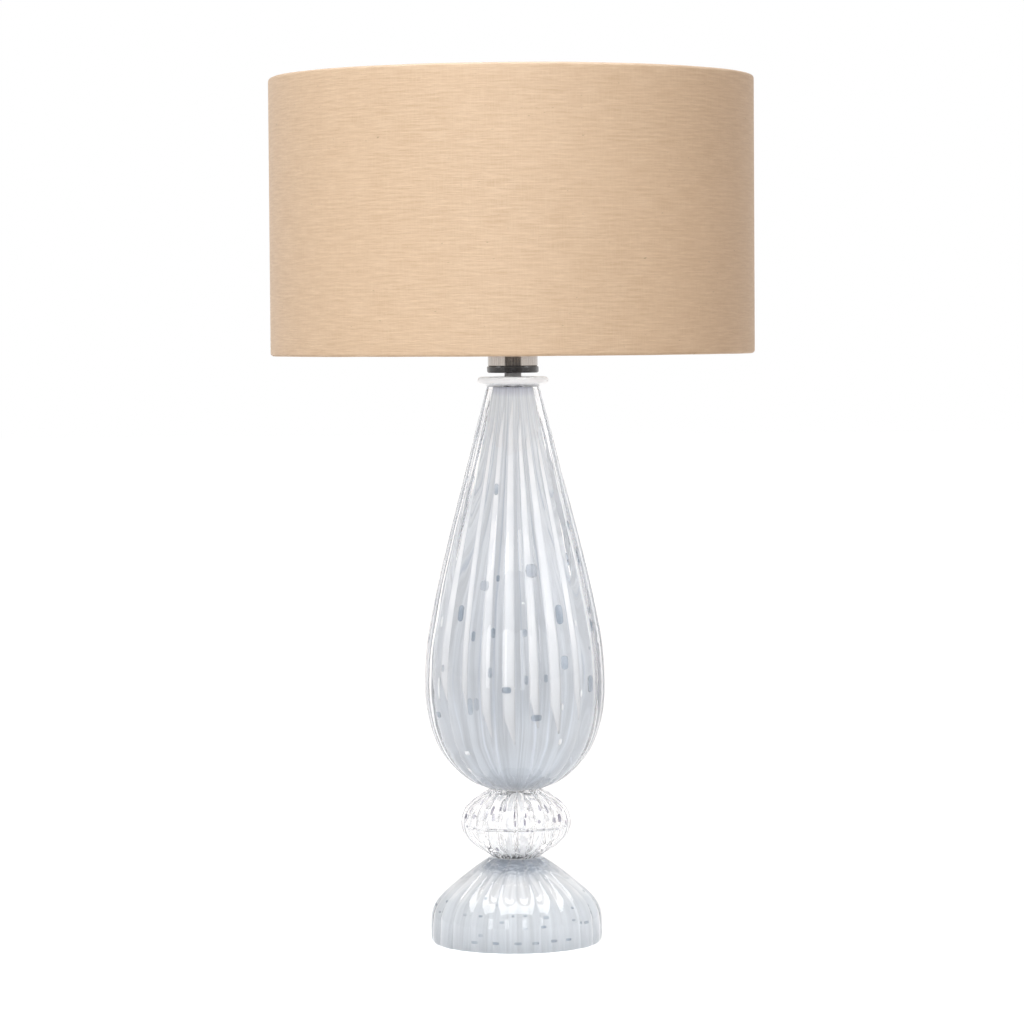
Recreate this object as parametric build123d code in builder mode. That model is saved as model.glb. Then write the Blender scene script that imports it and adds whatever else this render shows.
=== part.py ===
from build123d import *
from math import cos, radians, sin
import os

# A table lamp of blown glass: a ribbed bell foot, a ribbed ball and a tall
# teardrop body, threaded on one steel tube that carries a screw lampholder,
# a bulb and a straight fabric drum shade.
# Millimetres. +Z is up, the origin is on the table under the middle of the
# foot, and the cord's inlet is at the back, on +Y.

# ---------------------------------------------------------------- dimensions

# Ribbed glass: the ribs of the three glass pieces line up
RIBS = 22
RIB_PITCH = 360 / RIBS
VALLEY_ANGLE = -90          # a valley between two ribs faces the front

# Heights where one piece of the stack hands over to the next
FOOT_TOP = 71.0
GASKET = 0.6
BALL_BOTTOM = FOOT_TOP + GASKET
BALL_TOP = 128.6
BODY_BOTTOM = BALL_TOP + GASKET
NECK_TOP = 464.0
FLANGE_TOP = 471.2

# Height, crest radius and rib depth of each outline, bottom to top
FOOT_OUTLINE = [
    (0.0, 66.5, 0.6),
    (1.2, 69.8, 0.9),
    (4.5, 71.2, 1.4),
    (11.5, 71.4, 1.7),
    (18.2, 71.3, 1.8),
    (25.0, 70.6, 1.8),
    (31.6, 68.4, 1.8),
    (38.3, 64.0, 1.8),
    (45.0, 57.3, 1.7),
    (51.8, 49.2, 1.5),
    (58.5, 40.7, 1.4),
    (65.2, 31.6, 1.3),
    (FOOT_TOP, 22.8, 1.2),
]
BALL_OUTLINE = [
    (BALL_BOTTOM, 19.5, 1.5),
    (75.5, 25.0, 1.7),
    (80.0, 32.6, 1.8),
    (84.5, 38.6, 1.8),
    (91.0, 43.7, 1.9),
    (100.5, 45.9, 1.9),
    (110.0, 43.9, 1.8),
    (117.8, 38.0, 1.7),
    (123.8, 30.0, 1.6),
    (BALL_TOP, 21.0, 1.4),
]
BODY_OUTLINE = [
    (BODY_BOTTOM, 23.5, 0.9),
    (134.0, 35.5, 1.1),
    (141.0, 45.6, 1.2),
    (151.4, 56.0, 1.4),
    (163.9, 64.0, 1.5),
    (179.0, 70.0, 1.6),
    (197.0, 73.8, 1.6),
    (219.0, 74.9, 1.6),
    (250.0, 72.7, 1.6),
    (280.0, 67.4, 1.5),
    (310.6, 60.8, 1.3),
    (340.0, 53.6, 1.1),
    (369.0, 46.2, 0.8),
    (395.0, 39.4, 0.5),
    (421.0, 32.8, 0.4),
    (443.0, 27.0, 0.3),
    (NECK_TOP, 21.6, 0.3),
]
FLANGE_RADIUS = 29.6
FLANGE_BOTTOM = 464.6
FLANGE_ROOT = 1.0           # how far the flange is let into the neck

# Holes and hollows of the glass
TUBE_HOLE_RADIUS = 5.6
BALL_HOLLOW = [             # height and radius of the ball's blown hollow
    (77.0, TUBE_HOLE_RADIUS),
    (79.0, 13.0),
    (83.5, 21.0),
    (90.5, 28.0),
    (98.5, 30.8),
    (107.0, 29.0),
    (115.5, 22.0),
    (121.0, 13.0),
    (123.0, TUBE_HOLE_RADIUS),
]
BODY_OPAL_THICKNESS = 2.5
BODY_CORE_BOTTOM = 139.0
BODY_CORE_TOP = 463.0
BODY_CORE = [               # height and radius of the milky layer's outside
    (152.0, 30.0),
    (180.0, 44.5),
    (219.0, 49.3),
    (265.0, 45.0),
    (315.0, 34.5),
    (369.0, 22.5),
    (421.0, 14.8),
    (BODY_CORE_TOP, 10.3),
]
BODY_CORE_START = (1, 0.15)         # the curve's direction at the core's ends
BODY_CORE_END = (-0.1, 1)
FOOT_MOUTH_RADIUS = 55.0    # the recess that takes the bottom cover
FOOT_MOUTH_DEPTH = 9.0
FOOT_CROWN = 67.0           # top of the milky layer in the foot
FOOT_SEAT = 57.0            # its underside, where the clamp's washers bear
FOOT_CORE = [               # height and radius of the milky layer's outside
    (FOOT_MOUTH_DEPTH, 53.0),
    (20.0, 52.0),
    (30.0, 48.5),
    (38.0, 43.0),
    (46.0, 35.5),
    (54.0, 27.0),
    (61.0, 19.5),
    (FOOT_CROWN, 12.5),
]
FOOT_HOLLOW = [             # and of its inside
    (FOOT_MOUTH_DEPTH, 50.5),
    (21.0, 49.0),
    (32.0, 44.5),
    (42.0, 36.5),
    (50.0, 28.5),
    (FOOT_SEAT, 20.5),
]

# Threaded tube and what clamps the stack on it
TUBE_RADIUS = 5.0
TUBE_BORE_RADIUS = 3.5
TUBE_BOTTOM = 43.0
TUBE_TOP = 486.0
GASKET_RADIUS = 17.0
FOOT_WASHER_RADIUS = 19.0
RUBBER_THICKNESS = 2.0
STEEL_THICKNESS = 1.5
LOCK_WASHER_THICKNESS = 1.2
LOCK_WASHER_RADIUS = 8.2
NUT_ACROSS_FLATS = 17.0
NUT_THICKNESS = 5.0
COLLAR_RADIUS = 7.0
COLLAR_TOP = 474.2

# Lampholder for a 27 mm screw cap
BASE_RING_RADIUS = 21.5
BASE_RING_TOP = 479.4
BASE_RING_CHAMFER = 1.0
HOLDER_RADIUS = 20.7
HOLDER_WALL = 1.2
HOLDER_CHAMFER = 0.8
HOLDER_CAP_TOP = 502.0
HOLDER_NUT_ACROSS_FLATS = 14.0
HOLDER_NUT_THICKNESS = 4.0
SLEEVE_RADIUS = 19.4        # root of the thread that takes the shade ring
SLEEVE_CREST = 20.0
SLEEVE_BORE = 17.6
SLEEVE_TOP = 531.0
SLEEVE_FLANGE_RADIUS = 25.0
SHADE_SEAT = 513.0
SLEEVE_FLANGE_THICKNESS = 2.5
SLEEVE_PITCH = 2.5
THREAD_RUN_IN = 0.5         # plain length before a thread
THREAD_FLANK = 0.3          # share of a pitch that a flank or a crest takes up
INSERT_RADIUS = 17.3
INSERT_BOTTOM = 494.0
INSERT_TOP = 505.0
INSERT_LEGS = 4
INSERT_LEG_RADIUS = 1.5
INSERT_LEG_INSET = 2.3      # a leg's middle from the disc's edge
SHELL_BORE = 13.35
SHELL_WALL = 0.5
SHELL_TOP = 528.5
TERMINAL_SPACING = 9.0
TERMINAL_RECESS = 0.3
TONGUE_END = 10.0           # the sprung tongue, from its riveted end to its tip
TONGUE_BEND = 5.0
TONGUE_TIP = 3.0
TONGUE_THICKNESS = 0.5
TONGUE_SLANT = 0.4
TONGUE_WIDTH = 6.0
TONGUE_GAP = 0.1            # to the bulb's contact

# Bulb, 60 mm across, with a 27 mm screw cap
BULB_CONTACT_BOTTOM = 507.6
BULB_CONTACT_THICKNESS = 0.8
BULB_CONTACT_RADIUS = 4.5
BULB_CONTACT_HOLE = 0.5
BULB_INSULATOR_TIP = 5.5
BULB_INSULATOR_RADIUS = 11.4
BULB_CAP_BOTTOM = 510.6
BULB_CAP_TOP = 532.0
BULB_CAP_ROOT = 12.6
BULB_CAP_CREST = 13.2
BULB_CAP_CHAMFER = 1.0
BULB_CAP_FLOOR = 1.2
BULB_THREAD_PITCH = 3.62
BULB_THREAD_TURNS = 4
BULB_CAP_WALL = 0.4
BULB_NECK_RADIUS = 13.6
BULB_NECK_BOTTOM = BULB_CAP_TOP + 1.0
BULB_NECK_BORE = 10.8
BULB_NECK_JOIN = 36.0       # degrees below the ball's middle where the neck leaves it
BULB_RADIUS = 30.0
BULB_MIDDLE = 583.0
BULB_GLASS_WALL = 0.8

# Drum shade and its frame
SHADE_RADIUS = 200.0
SHADE_BOTTOM = 489.4
SHADE_TOP = 717.0
FABRIC_THICKNESS = 0.6
LINER_THICKNESS = 0.5
SHADE_WIRE_RADIUS = 1.6
HEM_DEPTH = 9.0
SPOKES = 3
SPOKE_RADIUS = 1.5
SPOKE_BITE = 0.4            # how far a spoke is let into what it is welded to
SPOKE_KNEE = 52.0
SPOKE_TOE = 188.0
SPOKE_BEND = 12.0
SPOKE_CLEARANCE = 0.5       # from the sleeve's flange
SPOKE_NOTCH = 4.5           # its width in the hem
SPOKE_NOTCH_GAP = 0.3       # and its room under the spoke
CARRIER_BORE = 20.5
CARRIER_RADIUS = 29.0
CARRIER_THICKNESS = 1.5
RING_BORE = 20.15
RING_GRIP_RADIUS = 24.5
RING_RADIUS = 28.5
RING_FLANGE_THICKNESS = 1.8
RING_HEIGHT = 8.0
RING_GRIPS = 24
RING_GRIP_DEPTH = 0.6

# Bottom cover, cord inlet and inner wiring
COVER_RADIUS = 53.0
COVER_BOTTOM = 3.0
COVER_TOP = 5.0
COVER_RIM_WALL = 2.0
SEAL_BOTTOM = 4.0
INLET_HEIGHT = 19.0
INLET_HOLE_RADIUS = 5.2
INLET_INSIDE = 40.0         # where its hole is well inside the foot's hollow
GROMMET_BORE_RADIUS = 3.5
GROMMET_FLANGE_RADIUS = 7.5
GROMMET_FLANGE_THICKNESS = 1.6
GROMMET_OUTSIDE = 71.6
GROMMET_INSIDE = 51.0
BLOCK_LENGTH = 26.0
BLOCK_DEPTH = 16.0
BLOCK_CORNER = 2.0
BLOCK_TOP = 19.0
BLOCK_OFFSET = 26.0         # its middle, behind the tube
BLOCK_HOLE_HEIGHT = 12.0
BLOCK_HOLE_RADIUS = 2.0
BLOCK_SPACING = 10.0        # between its two ways
BLOCK_SCREW_RADIUS = 1.5
BLOCK_SCREW_BOTTOM = 1.6
BLOCK_SCREW_TOP = 10.0
BLOCK_SCREW_HEAD = 3.0
CLAMP_SINK = 1.0            # the clamping screws below the block's top
TERMINAL_RADIUS = 1.5
TERMINAL_SLOT = 0.7
FREE_FIT = 0.1              # round a screw or a lead in its hole
LEAD_RADIUS = 1.1
LEAD_OFFSET = 1.6           # each lead from the tube's middle
LEAD_BEND = 1.8
LEAD_DROP = 3.0             # straight length under the lampholder's insert
LEAD_OVER_TUBE = 2.0
LEAD_UNDER_TUBE = 4.0
LEAD_SPREAD = 9.0           # behind the tube, where a lead turns towards the block
LEAD_END = BLOCK_OFFSET - 1.0

os.makedirs("parts", exist_ok=True)


# ------------------------------------------------------------ shared shapes

def around(radius, angle):
    """A point on a circle about the lamp's axis, at an angle in degrees."""
    return (radius * cos(radians(angle)), radius * sin(radians(angle)))


def ribbed_blank(outline):
    """Solid ribbed glass: round ribs that meet in sharp valleys, lofted through an outline."""
    with BuildPart() as blank:
        for height, crest, depth in outline:
            with BuildSketch(Plane.XY.offset(height)):
                with BuildLine():
                    for rib in range(RIBS):
                        start = VALLEY_ANGLE + rib * RIB_PITCH
                        ThreePointArc(
                            around(crest - depth, start),
                            around(crest, start + RIB_PITCH / 2),
                            around(crest - depth, start + RIB_PITCH),
                        )
                make_face()
        loft()
    return blank.part


def turned(*outline):
    """A turned piece: a half outline of (radius, height) points spun about the lamp's axis."""
    with BuildPart() as piece:
        with BuildSketch(Plane.XZ):
            with BuildLine():
                Polyline(*outline, close=True)
            make_face()
        revolve(axis=Axis.Z)
    return piece


def washer(outer, inner, bottom, top):
    """A flat ring or a plain sleeve on the lamp's axis."""
    with BuildPart() as piece:
        with BuildSketch(Plane.XY.offset(bottom)):
            Circle(outer)
            Circle(inner, mode=Mode.SUBTRACT)
        extrude(amount=top - bottom)
    return piece


def hex_nut(across_flats, bore, bottom, top):
    """A hexagon nut on the lamp's axis."""
    with BuildPart() as piece:
        with BuildSketch(Plane.XY.offset(bottom)):
            RegularPolygon(across_flats / 2, 6, major_radius=False)
            Circle(bore, mode=Mode.SUBTRACT)
        extrude(amount=top - bottom)
    return piece


def thread_points(root, crest, bottom, pitch, turns):
    """Half outline of a round thread, drawn as level ridges up a sleeve."""
    points = []
    for turn in range(turns):
        start = bottom + turn * pitch
        points += [
            (root, start),
            (crest, start + pitch * THREAD_FLANK),
            (crest, start + pitch * THREAD_FLANK * 2),
            (root, start + pitch * THREAD_FLANK * 3),
        ]
    return points


# -------------------------------------------------------------- glass stack

def domed(outline):
    """Half section of a hollow with flat ends, through points of height and radius."""
    with BuildSketch(Plane.XZ) as section:
        with BuildLine():
            dome = Spline(*[(radius, height) for height, radius in outline])
            Polyline(dome @ 1, (0, outline[-1][0]), (0, outline[0][0]), dome @ 0)
        make_face()
    return section.sketch


def core_hollow(inset):
    """Half section of the body's milky core, drawn in by an inset."""
    with BuildSketch(Plane.XZ) as section:
        with BuildLine():
            side = Spline(
                (TUBE_HOLE_RADIUS, BODY_CORE_BOTTOM + inset),
                *[(radius - inset, height) for height, radius in BODY_CORE[:-1]],
                (BODY_CORE[-1][1] - inset, BODY_CORE_TOP - inset),
                tangents=(BODY_CORE_START, BODY_CORE_END),
            )
            Polyline(side @ 1, (0, BODY_CORE_TOP - inset), (0, BODY_CORE_BOTTOM + inset), side @ 0)
        make_face()
    return section.sketch


def inlet_hole(radius, inside, outside):
    """A round plug from the front to the back of the foot's rear wall, for a hole or a bush."""
    with BuildPart() as plug:
        with BuildSketch(Plane.XZ.offset(-inside)):
            with Locations((0, INLET_HEIGHT)):
                Circle(radius)
        extrude(amount=inside - outside)
    return plug.part


# Foot: a ribbed bell with a stepped mouth, a domed hollow and the cord's hole at the back
foot_blank = ribbed_blank(FOOT_OUTLINE)
foot_outside = domed(FOOT_CORE)
foot_inside = domed(FOOT_HOLLOW)
foot_inlet = inlet_hole(INLET_HOLE_RADIUS, INLET_INSIDE, GROMMET_OUTSIDE)
with BuildPart() as foot_glass:
    add(foot_blank)
    with BuildSketch(Plane.XY):
        Circle(FOOT_MOUTH_RADIUS)
    extrude(amount=FOOT_MOUTH_DEPTH, mode=Mode.SUBTRACT)
    add(foot_outside)
    revolve(axis=Axis.Z, mode=Mode.SUBTRACT)
    with BuildSketch(Plane.XY.offset(FOOT_CROWN)):
        Circle(TUBE_HOLE_RADIUS)
    extrude(amount=FOOT_TOP - FOOT_CROWN, mode=Mode.SUBTRACT)
    add(foot_inlet, mode=Mode.SUBTRACT)
foot_glass.part.label = "foot_glass"
export_step(foot_glass.part, "parts/foot_glass.step")

# Milky inner layer, fused to the inside of the foot's clear glass
with BuildPart() as foot_opal:
    add(foot_outside)
    revolve(axis=Axis.Z)
    add(foot_inside)
    revolve(axis=Axis.Z, mode=Mode.SUBTRACT)
    with BuildSketch(Plane.XY.offset(FOOT_SEAT)):
        Circle(TUBE_HOLE_RADIUS)
    extrude(amount=FOOT_CROWN - FOOT_SEAT, mode=Mode.SUBTRACT)
    add(foot_inlet, mode=Mode.SUBTRACT)
foot_opal.part.label = "foot_opal"
export_step(foot_opal.part, "parts/foot_opal.step")

# Ball: a ribbed hollow spheroid with a hole for the tube at each end
ball_blank = ribbed_blank(BALL_OUTLINE)
ball_inside = domed(BALL_HOLLOW)
with BuildPart() as ball_glass:
    add(ball_blank)
    add(ball_inside)
    revolve(axis=Axis.Z, mode=Mode.SUBTRACT)
    with BuildSketch(Plane.XY.offset(BALL_BOTTOM)):
        Circle(TUBE_HOLE_RADIUS)
    extrude(amount=BALL_TOP - BALL_BOTTOM, mode=Mode.SUBTRACT)
ball_glass.part.label = "ball_glass"
export_step(ball_glass.part, "parts/ball_glass.step")

# Body: thick clear casing with a flange at the neck, hollow for the milky layer
body_blank = ribbed_blank(BODY_OUTLINE)
core_outside = core_hollow(0)
core_inside = core_hollow(BODY_OPAL_THICKNESS)
FLANGE_HALF = (FLANGE_TOP - FLANGE_BOTTOM) / 2
with BuildPart() as body_glass:
    add(body_blank)
    with BuildSketch(Plane.XZ):
        with BuildLine():
            Polyline(
                (FLANGE_RADIUS - FLANGE_HALF, FLANGE_TOP),
                (0, FLANGE_TOP),
                (0, NECK_TOP - FLANGE_ROOT),
                (BODY_OUTLINE[-1][1] - FLANGE_ROOT, NECK_TOP - FLANGE_ROOT),
                (BODY_OUTLINE[-1][1] - FLANGE_ROOT, FLANGE_BOTTOM),
                (FLANGE_RADIUS - FLANGE_HALF, FLANGE_BOTTOM),
            )
            ThreePointArc(
                (FLANGE_RADIUS - FLANGE_HALF, FLANGE_BOTTOM),
                (FLANGE_RADIUS, FLANGE_BOTTOM + FLANGE_HALF),
                (FLANGE_RADIUS - FLANGE_HALF, FLANGE_TOP),
            )
        make_face()
    revolve(axis=Axis.Z)
    add(core_outside)
    revolve(axis=Axis.Z, mode=Mode.SUBTRACT)
    with BuildSketch(Plane.XY.offset(BODY_BOTTOM)):
        Circle(TUBE_HOLE_RADIUS)
    extrude(amount=FLANGE_TOP - BODY_BOTTOM, mode=Mode.SUBTRACT)
body_glass.part.label = "body_glass"
export_step(body_glass.part, "parts/body_glass.step")

# Milky inner layer, fused to the inside of the casing
with BuildPart() as body_opal:
    add(core_outside)
    revolve(axis=Axis.Z)
    add(core_inside)
    revolve(axis=Axis.Z, mode=Mode.SUBTRACT)
    with BuildSketch(Plane.XY.offset(BODY_CORE_BOTTOM)):
        Circle(TUBE_HOLE_RADIUS)
    extrude(amount=BODY_CORE_TOP - BODY_CORE_BOTTOM, mode=Mode.SUBTRACT)
body_opal.part.label = "body_opal"
export_step(body_opal.part, "parts/body_opal.step")

# Soft clear gaskets between the glass pieces
lower_gasket = washer(GASKET_RADIUS, TUBE_HOLE_RADIUS, FOOT_TOP, BALL_BOTTOM)
lower_gasket.part.label = "lower_gasket"
export_step(lower_gasket.part, "parts/lower_gasket.step")

upper_gasket = washer(GASKET_RADIUS, TUBE_HOLE_RADIUS, BALL_TOP, BODY_BOTTOM)
upper_gasket.part.label = "upper_gasket"
export_step(upper_gasket.part, "parts/upper_gasket.step")

# ------------------------------------------------- tube and clamping pieces

threaded_tube = washer(TUBE_RADIUS, TUBE_BORE_RADIUS, TUBE_BOTTOM, TUBE_TOP)
threaded_tube.part.label = "threaded_tube"
export_step(threaded_tube.part, "parts/threaded_tube.step")

# Under the foot's seat, downwards: rubber washer, steel washer, lock washer, nut
RUBBER_BOTTOM = FOOT_SEAT - RUBBER_THICKNESS
STEEL_BOTTOM = RUBBER_BOTTOM - STEEL_THICKNESS
LOCK_BOTTOM = STEEL_BOTTOM - LOCK_WASHER_THICKNESS
NUT_BOTTOM = LOCK_BOTTOM - NUT_THICKNESS

rubber_washer = washer(FOOT_WASHER_RADIUS, TUBE_HOLE_RADIUS, RUBBER_BOTTOM, FOOT_SEAT)
rubber_washer.part.label = "rubber_washer"
export_step(rubber_washer.part, "parts/rubber_washer.step")

steel_washer = washer(FOOT_WASHER_RADIUS, TUBE_HOLE_RADIUS, STEEL_BOTTOM, RUBBER_BOTTOM)
steel_washer.part.label = "steel_washer"
export_step(steel_washer.part, "parts/steel_washer.step")

lock_washer = washer(LOCK_WASHER_RADIUS, TUBE_HOLE_RADIUS, LOCK_BOTTOM, STEEL_BOTTOM)
lock_washer.part.label = "lock_washer"
export_step(lock_washer.part, "parts/lock_washer.step")

foot_nut = hex_nut(NUT_ACROSS_FLATS, TUBE_RADIUS, NUT_BOTTOM, LOCK_BOTTOM)
foot_nut.part.label = "foot_nut"
export_step(foot_nut.part, "parts/foot_nut.step")

# Clear collar that spreads the lampholder's load on the glass
neck_collar = washer(COLLAR_RADIUS, TUBE_RADIUS, FLANGE_TOP, COLLAR_TOP)
neck_collar.part.label = "neck_collar"
export_step(neck_collar.part, "parts/neck_collar.step")

# --------------------------------------------------------------- lampholder

base_ring = turned(
    (TUBE_RADIUS, COLLAR_TOP),
    (BASE_RING_RADIUS - BASE_RING_CHAMFER, COLLAR_TOP),
    (BASE_RING_RADIUS, COLLAR_TOP + BASE_RING_CHAMFER),
    (BASE_RING_RADIUS, BASE_RING_TOP - BASE_RING_CHAMFER / 2),
    (BASE_RING_RADIUS - BASE_RING_CHAMFER / 2, BASE_RING_TOP),
    (TUBE_RADIUS, BASE_RING_TOP),
)
base_ring.part.label = "base_ring"
export_step(base_ring.part, "parts/base_ring.step")

FLOOR_TOP = BASE_RING_TOP + HOLDER_WALL
holder_cap = turned(
    (TUBE_RADIUS, BASE_RING_TOP),
    (HOLDER_RADIUS - HOLDER_CHAMFER, BASE_RING_TOP),
    (HOLDER_RADIUS, BASE_RING_TOP + HOLDER_CHAMFER),
    (HOLDER_RADIUS, HOLDER_CAP_TOP),
    (HOLDER_RADIUS - HOLDER_WALL, HOLDER_CAP_TOP),
    (HOLDER_RADIUS - HOLDER_WALL, FLOOR_TOP),
    (TUBE_RADIUS, FLOOR_TOP),
)
holder_cap.part.label = "holder_cap"
export_step(holder_cap.part, "parts/holder_cap.step")

holder_nut = hex_nut(
    HOLDER_NUT_ACROSS_FLATS, TUBE_RADIUS, FLOOR_TOP, FLOOR_TOP + HOLDER_NUT_THICKNESS
)
holder_nut.part.label = "holder_nut"
export_step(holder_nut.part, "parts/holder_nut.step")

# Threaded sleeve: it stands on the cap, and its flange carries the shade
SLEEVE_TURNS = int((SLEEVE_TOP - SHADE_SEAT - 2 * THREAD_RUN_IN) / SLEEVE_PITCH)
holder_sleeve = turned(
    (SLEEVE_BORE, HOLDER_CAP_TOP),
    (HOLDER_RADIUS, HOLDER_CAP_TOP),
    (HOLDER_RADIUS, SHADE_SEAT - SLEEVE_FLANGE_THICKNESS),
    (SLEEVE_FLANGE_RADIUS, SHADE_SEAT - SLEEVE_FLANGE_THICKNESS),
    (SLEEVE_FLANGE_RADIUS, SHADE_SEAT),
    (SLEEVE_RADIUS, SHADE_SEAT),
    *thread_points(
        SLEEVE_RADIUS, SLEEVE_CREST, SHADE_SEAT + THREAD_RUN_IN, SLEEVE_PITCH, SLEEVE_TURNS
    ),
    (SLEEVE_RADIUS, SLEEVE_TOP),
    (SLEEVE_BORE, SLEEVE_TOP),
)
holder_sleeve.part.label = "holder_sleeve"
export_step(holder_sleeve.part, "parts/holder_sleeve.step")

# Ceramic insert: a disc on four legs in the cap, with a hole and a side screw for each lead
TERMINAL_HEIGHT = (INSERT_BOTTOM + INSERT_TOP) / 2
TERMINAL_INSIDE = TERMINAL_SPACING + LEAD_RADIUS
with BuildPart() as holder_insert:
    with BuildSketch(Plane.XY.offset(INSERT_BOTTOM)):
        Circle(INSERT_RADIUS)
    extrude(amount=INSERT_TOP - INSERT_BOTTOM)
    with BuildSketch(Plane.XY.offset(FLOOR_TOP)):
        with PolarLocations(INSERT_RADIUS - INSERT_LEG_INSET, INSERT_LEGS, start_angle=45):
            Circle(INSERT_LEG_RADIUS)
    extrude(amount=INSERT_BOTTOM - FLOOR_TOP)
    with BuildSketch(Plane.XY.offset(INSERT_BOTTOM)):
        with GridLocations(2 * TERMINAL_SPACING, 0, 2, 1):
            Circle(LEAD_RADIUS + FREE_FIT)
    extrude(amount=TERMINAL_HEIGHT + TERMINAL_RADIUS - INSERT_BOTTOM, mode=Mode.SUBTRACT)
    with BuildSketch(Plane.YZ.offset(-INSERT_RADIUS)):
        with Locations((0, TERMINAL_HEIGHT)):
            Circle(TERMINAL_RADIUS)
    extrude(amount=INSERT_RADIUS - TERMINAL_SPACING, mode=Mode.SUBTRACT)
    with BuildSketch(Plane.YZ.offset(TERMINAL_SPACING)):
        with Locations((0, TERMINAL_HEIGHT)):
            Circle(TERMINAL_RADIUS)
    extrude(amount=INSERT_RADIUS - TERMINAL_SPACING, mode=Mode.SUBTRACT)
holder_insert.part.label = "holder_insert"
export_step(holder_insert.part, "parts/holder_insert.step")

# Two slotted screws that grip the leads from the sides
TERMINAL_LENGTH = INSERT_RADIUS - TERMINAL_RECESS - TERMINAL_INSIDE
with BuildPart() as holder_screws:
    with BuildSketch(Plane.YZ.offset(TERMINAL_INSIDE)):
        with Locations((0, TERMINAL_HEIGHT)):
            Circle(TERMINAL_RADIUS)
    extrude(amount=TERMINAL_LENGTH)
    with Locations((TERMINAL_INSIDE + TERMINAL_LENGTH, 0, TERMINAL_HEIGHT)):
        Box(2 * TERMINAL_SLOT, 2 * TERMINAL_RADIUS, TERMINAL_SLOT, mode=Mode.SUBTRACT)
    mirror(about=Plane.YZ)
holder_screws.part.label = "holder_screws"
export_step(holder_screws.part, "parts/holder_screws.step")

screw_shell = washer(SHELL_BORE + SHELL_WALL, SHELL_BORE, INSERT_TOP, SHELL_TOP)
screw_shell.part.label = "screw_shell"
export_step(screw_shell.part, "parts/screw_shell.step")

# Sprung tongue under the bulb's contact, bent up from a rivet on the insert
TONGUE_TOP = BULB_CONTACT_BOTTOM - TONGUE_GAP
with BuildPart() as centre_contact:
    with BuildSketch(Plane.XZ.offset(-TONGUE_WIDTH / 2)):
        with BuildLine():
            Polyline(
                (TONGUE_END, INSERT_TOP),
                (TONGUE_END, INSERT_TOP + TONGUE_THICKNESS),
                (TONGUE_BEND, INSERT_TOP + TONGUE_THICKNESS),
                (TONGUE_TIP, TONGUE_TOP),
                (-TONGUE_TIP, TONGUE_TOP),
                (-TONGUE_TIP, TONGUE_TOP - TONGUE_THICKNESS),
                (TONGUE_TIP - TONGUE_SLANT, TONGUE_TOP - TONGUE_THICKNESS),
                (TONGUE_BEND - TONGUE_SLANT, INSERT_TOP),
                close=True,
            )
        make_face()
    extrude(amount=TONGUE_WIDTH)
centre_contact.part.label = "centre_contact"
export_step(centre_contact.part, "parts/centre_contact.step")

# ---------------------------------------------------------------------- bulb

BULB_CONTACT_TOP = BULB_CONTACT_BOTTOM + BULB_CONTACT_THICKNESS
bulb_contact = washer(
    BULB_CONTACT_RADIUS, BULB_CONTACT_HOLE, BULB_CONTACT_BOTTOM, BULB_CONTACT_TOP
)
bulb_contact.part.label = "bulb_contact"
export_step(bulb_contact.part, "parts/bulb_contact.step")

bulb_insulator = turned(
    (0, BULB_CONTACT_TOP),
    (BULB_INSULATOR_TIP, BULB_CONTACT_TOP),
    (BULB_INSULATOR_RADIUS, BULB_CAP_BOTTOM),
    (0, BULB_CAP_BOTTOM),
)
bulb_insulator.part.label = "bulb_insulator"
export_step(bulb_insulator.part, "parts/bulb_insulator.step")

BULB_THREAD_BOTTOM = BULB_CAP_BOTTOM + BULB_CAP_CHAMFER + THREAD_RUN_IN
bulb_cap = turned(
    (0, BULB_CAP_BOTTOM),
    (BULB_CAP_ROOT - BULB_CAP_CHAMFER, BULB_CAP_BOTTOM),
    (BULB_CAP_ROOT, BULB_CAP_BOTTOM + BULB_CAP_CHAMFER),
    *thread_points(
        BULB_CAP_ROOT, BULB_CAP_CREST, BULB_THREAD_BOTTOM, BULB_THREAD_PITCH, BULB_THREAD_TURNS
    ),
    (BULB_CAP_ROOT, BULB_CAP_TOP),
    (BULB_CAP_ROOT - BULB_CAP_WALL, BULB_CAP_TOP),
    (BULB_CAP_ROOT - BULB_CAP_WALL, BULB_CAP_BOTTOM + BULB_CAP_FLOOR),
    (0, BULB_CAP_BOTTOM + BULB_CAP_FLOOR),
)
bulb_cap.part.label = "bulb_cap"
export_step(bulb_cap.part, "parts/bulb_cap.step")

# Bulb: a blown neck that swells into a ball
def on_bulb(angle):
    """A point on the outline of the bulb's ball, at an angle in degrees above its middle."""
    return (
        BULB_RADIUS * cos(radians(angle)),
        BULB_MIDDLE + BULB_RADIUS * sin(radians(angle)),
    )


with BuildPart() as bulb_glass:
    with BuildSketch(Plane.XZ):
        with BuildLine():
            neck = Spline(
                (BULB_NECK_RADIUS, BULB_NECK_BOTTOM),
                on_bulb(-BULB_NECK_JOIN),
                tangents=(
                    (0, 1), (sin(radians(BULB_NECK_JOIN)), cos(radians(BULB_NECK_JOIN)))
                ),
            )
            ThreePointArc(on_bulb(-BULB_NECK_JOIN), on_bulb(0), on_bulb(45))
            ThreePointArc(on_bulb(45), on_bulb(67.5), (0, BULB_MIDDLE + BULB_RADIUS))
            Polyline((0, BULB_MIDDLE + BULB_RADIUS), (0, BULB_NECK_BOTTOM), neck @ 0)
        make_face()
    revolve(axis=Axis.Z)
    offset(
        amount=-BULB_GLASS_WALL,
        openings=bulb_glass.faces().sort_by(Axis.Z)[0],
    )
    with BuildSketch(Plane.XY.offset(BULB_CAP_TOP)):
        Circle(BULB_NECK_RADIUS)
        Circle(BULB_NECK_BORE, mode=Mode.SUBTRACT)
    extrude(amount=BULB_NECK_BOTTOM - BULB_CAP_TOP)
bulb_glass.part.label = "bulb_glass"
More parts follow.
